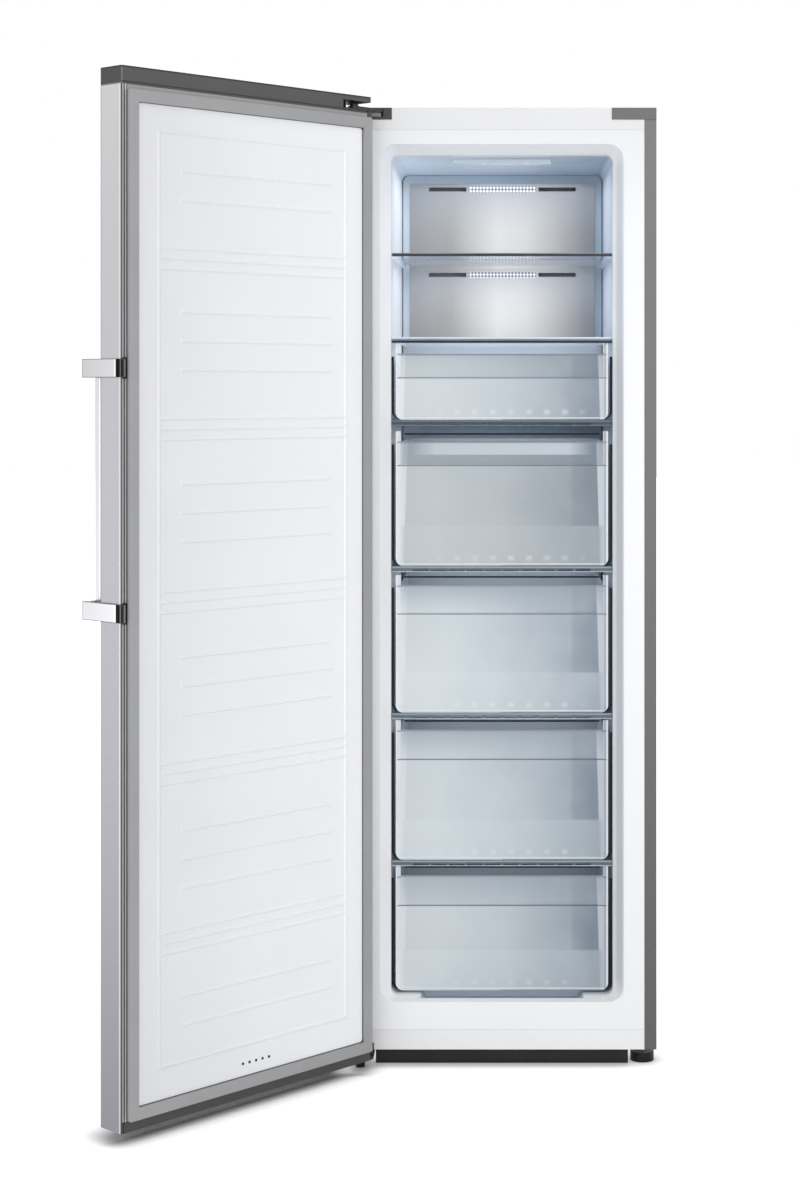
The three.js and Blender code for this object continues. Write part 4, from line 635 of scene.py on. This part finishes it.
LOOKS = {
    "outer_case": case_sides(),
    "back_panel": zinc,
    "inner_liner": cavity_liner(),
    "insulation_foam": foam,
    # the top rail's white greyed by painted shade
    "top_rail": painted("top_rail_shaded_paint", grey(230), 0.36, 0.01),
    "bottom_rail": white_paint,
    "corner_cover": moulded("grey_cover", grey(108), 0.45),
    "hinge_cover": dark_cover,
    "top_hinge": hinge_look(),
    "bottom_hinge": dark_cover,
    "base_plate": zinc,
    "plinth": black_plastic,
    "rear_grille": black_paint,
    "control_box": white_plastic,
    "compressor": black_paint,
    "drip_tray": black_plastic,
    "condenser_coil": painted("copper", linear(176, 110, 74), 0.3, 0.1),
    "duct_cover": cover_of_duct(),
    "duct_panel": duct_steel(),
    "evaporator": brushed("alloy", linear(200, 202, 205), 0.4, (1, 1, 30), False),
    "fan_motor": black_plastic,
    "fan_rotor": white_plastic,
    "lamp_lens": moulded("lens", linear(206, 217, 227), 0.25, 0.02),
    "lamp_board": moulded("board", linear(60, 110, 74), 0.5, 0.2, 0.004, 0.3),
    "front_foot_left": foot_plastic,
    "front_foot_right": foot_plastic,
    "rear_roller_left": black_plastic,
    "rear_roller_right": black_plastic,
    "door_skin": skin_of_door(),
    "door_top_cap": cap_of_door(),
    "door_bottom_cap": moulded("cap_black", grey(58), 0.45),
    "door_hinge_plate": plate_look(),
    "door_liner": liner_of_door(),
    "door_foam": foam,
    "door_gasket": moulded("gasket", grey(160), 0.6, 0.03, PAINT_GRAIN, 0.1),
    "handle_bracket_upper": chrome,
    "handle_bracket_lower": chrome,
    "handle_bar": brushed("bar_steel", linear(214, 214, 217), 0.26, (60, 60, 1)),
}
for n, bands in enumerate((TOP_TRIM, SECOND_TRIM, THIRD_TRIM, LOWER_TRIM, LOWER_TRIM, LOWER_TRIM), 1):
    LOOKS[f"shelf_{n}_glass"] = top_glass if n == 1 else glass
    LOOKS[f"shelf_{n}_trim"] = trim(n, bands)

drawers = {n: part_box(f"drawer_{n}_front") for n in range(1, 6)}
for n, (low, high) in drawers.items():
    LOOKS[f"drawer_{n}_tub"] = tub_plastic
    LOOKS[f"drawer_{n}_front"] = drawer_front(n, low[2], high[2])

SHARP = {"insulation_foam", "door_foam", "condenser_coil", "lamp_board", "evaporator", "door_liner"}
EDGE, FINE_EDGE = 0.0006, 0.0003  # widths of the bevels
for name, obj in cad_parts.items():
    obj.data.materials.clear()
    obj.data.materials.append(LOOKS[name].mat)
    if name not in SHARP:
        bevel = obj.modifiers.new("edge", "BEVEL")
        bevel.width = FINE_EDGE if "trim" in name or "drawer" in name else EDGE
        bevel.segments = 2
        bevel.limit_method = "ANGLE"
        bevel.angle_limit = math.radians(50)

# ------------------------------------------------------------------ small pieces


def solid(name, verts, faces, look, body, slot):
    """A mesh piece that rides on a body, in the given look; the slot is not used."""
    mesh = bpy.data.meshes.new(name)
    mesh.from_pydata(verts, [], faces)
    obj = bpy.data.objects.new(name, mesh)
    bpy.context.scene.collection.objects.link(obj)
    mesh.materials.append(look.mat)
    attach(obj, body)


def prism(ring, far_ring):
    """The vertices and faces of a solid between two matching outlines."""
    count = len(ring)
    sides = [[i + count, (i + 1) % count + count, (i + 1) % count, i] for i in range(count)]
    ends = [list(range(count)), list(range(count, 2 * count))[::-1]]
    return ring + far_ring, sides + ends


def on_door(u, v, z):
    """A place on the open door, in the part's frame."""
    along, through = u - HINGE_U, HINGE_V - v
    cos, sin = math.cos(DOOR_TURN), math.sin(DOOR_TURN)
    return PIVOT.x + cos * along - sin * through, PIVOT.y + sin * along + cos * through, z


def drawer_edges(n, low, high):
    """Dark strips that stand in for the shade on the edges of a drawer's side walls, seen on both sides of
    its front.
    """
    half = (high[0] - low[0]) / 2
    mid = (high[0] + low[0]) / 2
    base, top = low[2] + 0.0004, high[2] - 0.026
    front, thick = low[1] + 0.004, 0.010
    near, wide = 0.0036, 0.0079  # how far past the front the strip starts and ends
    r = 0.015  # of the front's lower corners
    steps = 8
    inner = [(half + near, top)]
    outer = [(half + wide, top)]
    for step in range(steps + 1):
        turn = step / steps * math.pi / 2
        inner.append((half - r + (r + near) * math.cos(turn), base + r - (r + 0.0004) * math.sin(turn)))
        outer.append((half - r + (r + wide) * math.cos(turn) ** 0.7, base + r - r * math.sin(turn) ** 1.2))
    outline = outer + inner[::-1]
    count = len(outline)
    verts, faces = [], []
    for sign in (-1, 1):
        start = len(verts)
        for y in (front, front + thick):
            verts += [(mid + sign * x, y, z) for x, z in outline]
        for i in range(count):
            j = (i + 1) % count
            face = [start + i, start + j, start + count + j, start + count + i]
            faces.append(face if sign > 0 else face[::-1])
        for i in range(count // 2 - 1):
            before = [start + i, start + i + 1, start + count - 2 - i, start + count - 1 - i]
            behind = [v + count for v in before]
            faces.append(before[::-1] if sign > 0 else before)
            faces.append(behind if sign > 0 else behind[::-1])
    solid(f"drawer_{n}_edges", verts, faces, shade_strip_plastic, f"drawer_{n}", "clear_plastic")


def drawer_rim(n, low, high):
    """A dark strip that stands in for the shade along the upper edge of a drawer's grip, across its front.
    """
    end = 0.0165  # from each end of the front
    front, back = low[1] + 0.0050, low[1] + 0.0075
    base, top = high[2] - RIM_DROPS[n] - 0.0044, high[2] - RIM_DROPS[n] - 0.0010
    cut = 0.0008
    outline = [
        (front, base + cut), (front, top - cut), (front + cut, top), (back, top), (back, base),
        (front + cut, base),
    ]
    rings = [[(x, y, z) for y, z in outline] for x in (low[0] + end, high[0] - end)]
    solid(f"drawer_{n}_rim", *prism(*rings), shade_strip_plastic, f"drawer_{n}", "clear_plastic")


def hinge_pocket():
    """The outer wall of the notch in the door's cap, behind the hinge arm."""
    start, stop = 0.0150, 0.0830
    inner, outer = 0.0535, 0.0562
    outline = [
        (start, 0.0550), (start + 0.0015, inner), (stop, inner), (stop, outer), (start + 0.0015, outer),
        (start, 0.0555),
    ]
    rings = [[on_door(u, v, z) for u, v in outline] for z in (POCKET_BASE + 0.0006, POCKET_TOP - 0.0007)]
    solid("hinge_pocket", *prism(*rings), black_plastic, "door", "black_plastic")


def liner_dots():
    """Five small plugs low on the door's liner."""
    first, pitch, height = 0.265, 0.0155, 0.0948
    sides = 12
    rings = ((-0.0058, 0.0026), (-0.0065, 0.0026), (-0.0068, 0.0019))  # v and radius, out to the plug's face
    verts, faces = [], []
    for k in range(5):
        u = first + k * pitch
        start = len(verts)
        for v, r in rings:
            for i in range(sides):
                angle = i * 2 * math.pi / sides
                verts.append(on_door(u + r * math.cos(angle), v, height + r * math.sin(angle)))
        for ring in (0, 1):
            a = start + ring * sides
            for i in range(sides):
                j = (i + 1) % sides
                faces.append([a + i, a + sides + i, a + sides + j, a + j])
        faces.append([start + 2 * sides + i for i in range(sides)][::-1])
    solid("liner_dots", verts, faces, black_plastic, "door", "black_plastic")


for n, (low, high) in drawers.items():
    drawer_edges(n, low, high)
    if n in RIM_DROPS:
        drawer_rim(n, low, high)
liner_dots()
hinge_pocket()

# ------------------------------------------------------------------ floor, light and camera


def seen_rays(tree):
    """1 for the rays on which the backdrop shows white: camera, glossy and transmission rays."""
    path = tree.nodes.new("ShaderNodeLightPath")
    seen = path.outputs["Is Camera Ray"]
    for ray in ("Is Glossy Ray", "Is Transmission Ray"):
        either = tree.nodes.new("ShaderNodeMath")
        either.operation = "MAXIMUM"
        tree.links.new(seen, either.inputs[0])
        tree.links.new(path.outputs[ray], either.inputs[1])
        seen = either.outputs[0]
    return seen


def studio():
    """A soft pale surrounding that lights the part and shows as white."""
    world = bpy.data.worlds.new("studio")
    bpy.context.scene.world = world
    world.use_nodes = True
    tree = world.node_tree
    tree.nodes.clear()
    light = tree.nodes.new("ShaderNodeBackground")
    light.inputs["Color"].default_value = (0.97, 0.98, 1.0, 1)
    light.inputs["Strength"].default_value = 0.80
    white = tree.nodes.new("ShaderNodeBackground")
    white.inputs["Color"].default_value = (1, 1, 1, 1)
    mix = tree.nodes.new("ShaderNodeMixShader")
    tree.links.new(seen_rays(tree), mix.inputs[0])
    tree.links.new(light.outputs[0], mix.inputs[1])
    tree.links.new(white.outputs[0], mix.inputs[2])
    out = tree.nodes.new("ShaderNodeOutputWorld")
    tree.links.new(mix.outputs[0], out.inputs[0])


def open_floor(made):
    """1 on the open floor and towards 0 in the shadow, for a shader with the cabinet's coordinates.

    Under the case the shadow follows what stands close above it. Elsewhere it is looked for towards
    the front right, so it gathers below and behind the open door.
    """
    close = made.node("ShaderNodeAmbientOcclusion", {"Distance": 0.036}, samples=12).outputs["AO"]
    up = made.node("ShaderNodeNewGeometry").outputs["Normal"]
    lean = made.node("ShaderNodeVectorMath", {0: up, 1: (0.668, -0.612, -0.577)}, operation="ADD").outputs[0]
    leaning = {"Distance": 0.12, "Normal": lean}
    aside = made.node("ShaderNodeAmbientOcclusion", leaning, samples=16).outputs["AO"]
    width = made.window(made.axis("X"), -0.31, 0.4, 0.02)
    by_case = made.both(width, made.spread(made.axis("Y"), 0.0, 1.0, -0.06, -0.03))
    by_door = made.maths("SUBTRACT", 1.0, by_case)
    case_floor = made.maths("MAXIMUM", made.maths("POWER", close, 1.1), by_door)
    door_floor = made.maths("MAXIMUM", made.spread(aside, 0.0, 1.0, 0.56, 0.84), by_case)
    return made.maths("MULTIPLY", case_floor, door_floor)


def floor():
    """A pale floor that shows white but keeps the part's shadow."""
    reach = 30.0
    mesh = bpy.data.meshes.new("floor")
    corners = [(-reach, -reach, 0), (reach, -reach, 0), (reach, reach, 0), (-reach, reach, 0)]
    mesh.from_pydata(corners, [], [(0, 1, 2, 3)])
    obj = bpy.data.objects.new("floor", mesh)
    bpy.context.scene.collection.objects.link(obj)
    obj.location.z = -0.0005
    made = Shader("floor", 0.85, Specular_IOR_Level=0.1)
    made.bump(made.noise(0.01, 2), 0.02, 0.0002)
    made.cabinet_coords()
    lit = open_floor(made)
    pale = made.drift((0.78, 0.78, 0.78), 0.01, 1.5)
    made.link(made.blend(lit, (0.02, 0.02, 0.02), pale), "Base Color")
    far = made.node("ShaderNodeVectorMath", {0: made.coords}, operation="LENGTH").outputs["Value"]
    glow = made.maths("MULTIPLY", lit, made.spread(far, 0.6, 0.8, 1.0, 4.0))
    made.bsdf.inputs["Emission Color"].default_value = (1, 1, 1, 1)
    made.link(made.maths("MULTIPLY", seen_rays(made.tree), glow), "Emission Strength")
    obj.data.materials.append(made.mat)


def lamp(name, place, target, size, power, color=(1, 1, 1)):
    data = bpy.data.lights.new(name, "AREA")
    data.shape = "RECTANGLE"
    data.size, data.size_y = size
    data.energy = power
    data.color = color
    obj = bpy.data.objects.new(name, data)
    obj.location = place
    obj.rotation_euler = (Vector(target) - Vector(place)).to_track_quat("-Z", "Y").to_euler()
    bpy.context.scene.collection.objects.link(obj)
    return obj


def cavity_lamps():
    """The freezer's own light: one lamp under the roof, and what it sheds on the shelf and each drawer."""
    levels = [(1.748, 0.8), (1.560, 0.6)]  # height and power
    over_drawers = (0.42, 0.3, 0.3, 0.26, 0.12)
    levels += [(high[2] + 0.006, power) for (low, high), power in zip(drawers.values(), over_drawers)]
    for i, (z, power) in enumerate(levels):
        place = Vector((CABINET_X, CABINET_Y + LAMP_DEPTH, z))
        made = lamp(f"cavity_{i}", place, place - Vector((0, 0, 1)), (0.36, 0.3), power, (0.98, 0.99, 1.0))
        made.visible_camera = False
        made.visible_glossy = False


def camera():
    """Level, 1.30 m up and 4.42 m in front of the cabinet, as fitted to the photograph's edges."""
    data = bpy.data.cameras.new("camera")
    data.lens = 68.98
    data.sensor_width = 36.0
    data.shift_x = -0.0899
    data.shift_y = -0.1746
    data.clip_end = 100
    obj = bpy.data.objects.new("camera", data)
    obj.location = (CABINET_X + 0.0116, CABINET_Y - 4.4243, 1.30296)
    obj.rotation_euler = (math.pi / 2, 0, 0)
    bpy.context.scene.collection.objects.link(obj)
    bpy.context.scene.camera = obj


bpy.context.scene.view_settings.view_transform = "Standard"
studio()
floor()
lamp("key", (1.5, -3.8, 1.5), (0.0, 0, 0.8), (2.2, 2.2), 19)
lamp("front", (-0.4, -4.8, 1.0), (0.2, 0, 0.7), (3.0, 2.4), 37)
lamp("top", (0, -0.8, 3.6), (0, 0, 1.0), (2.5, 2.5), 7)
cavity_lamps()
camera()
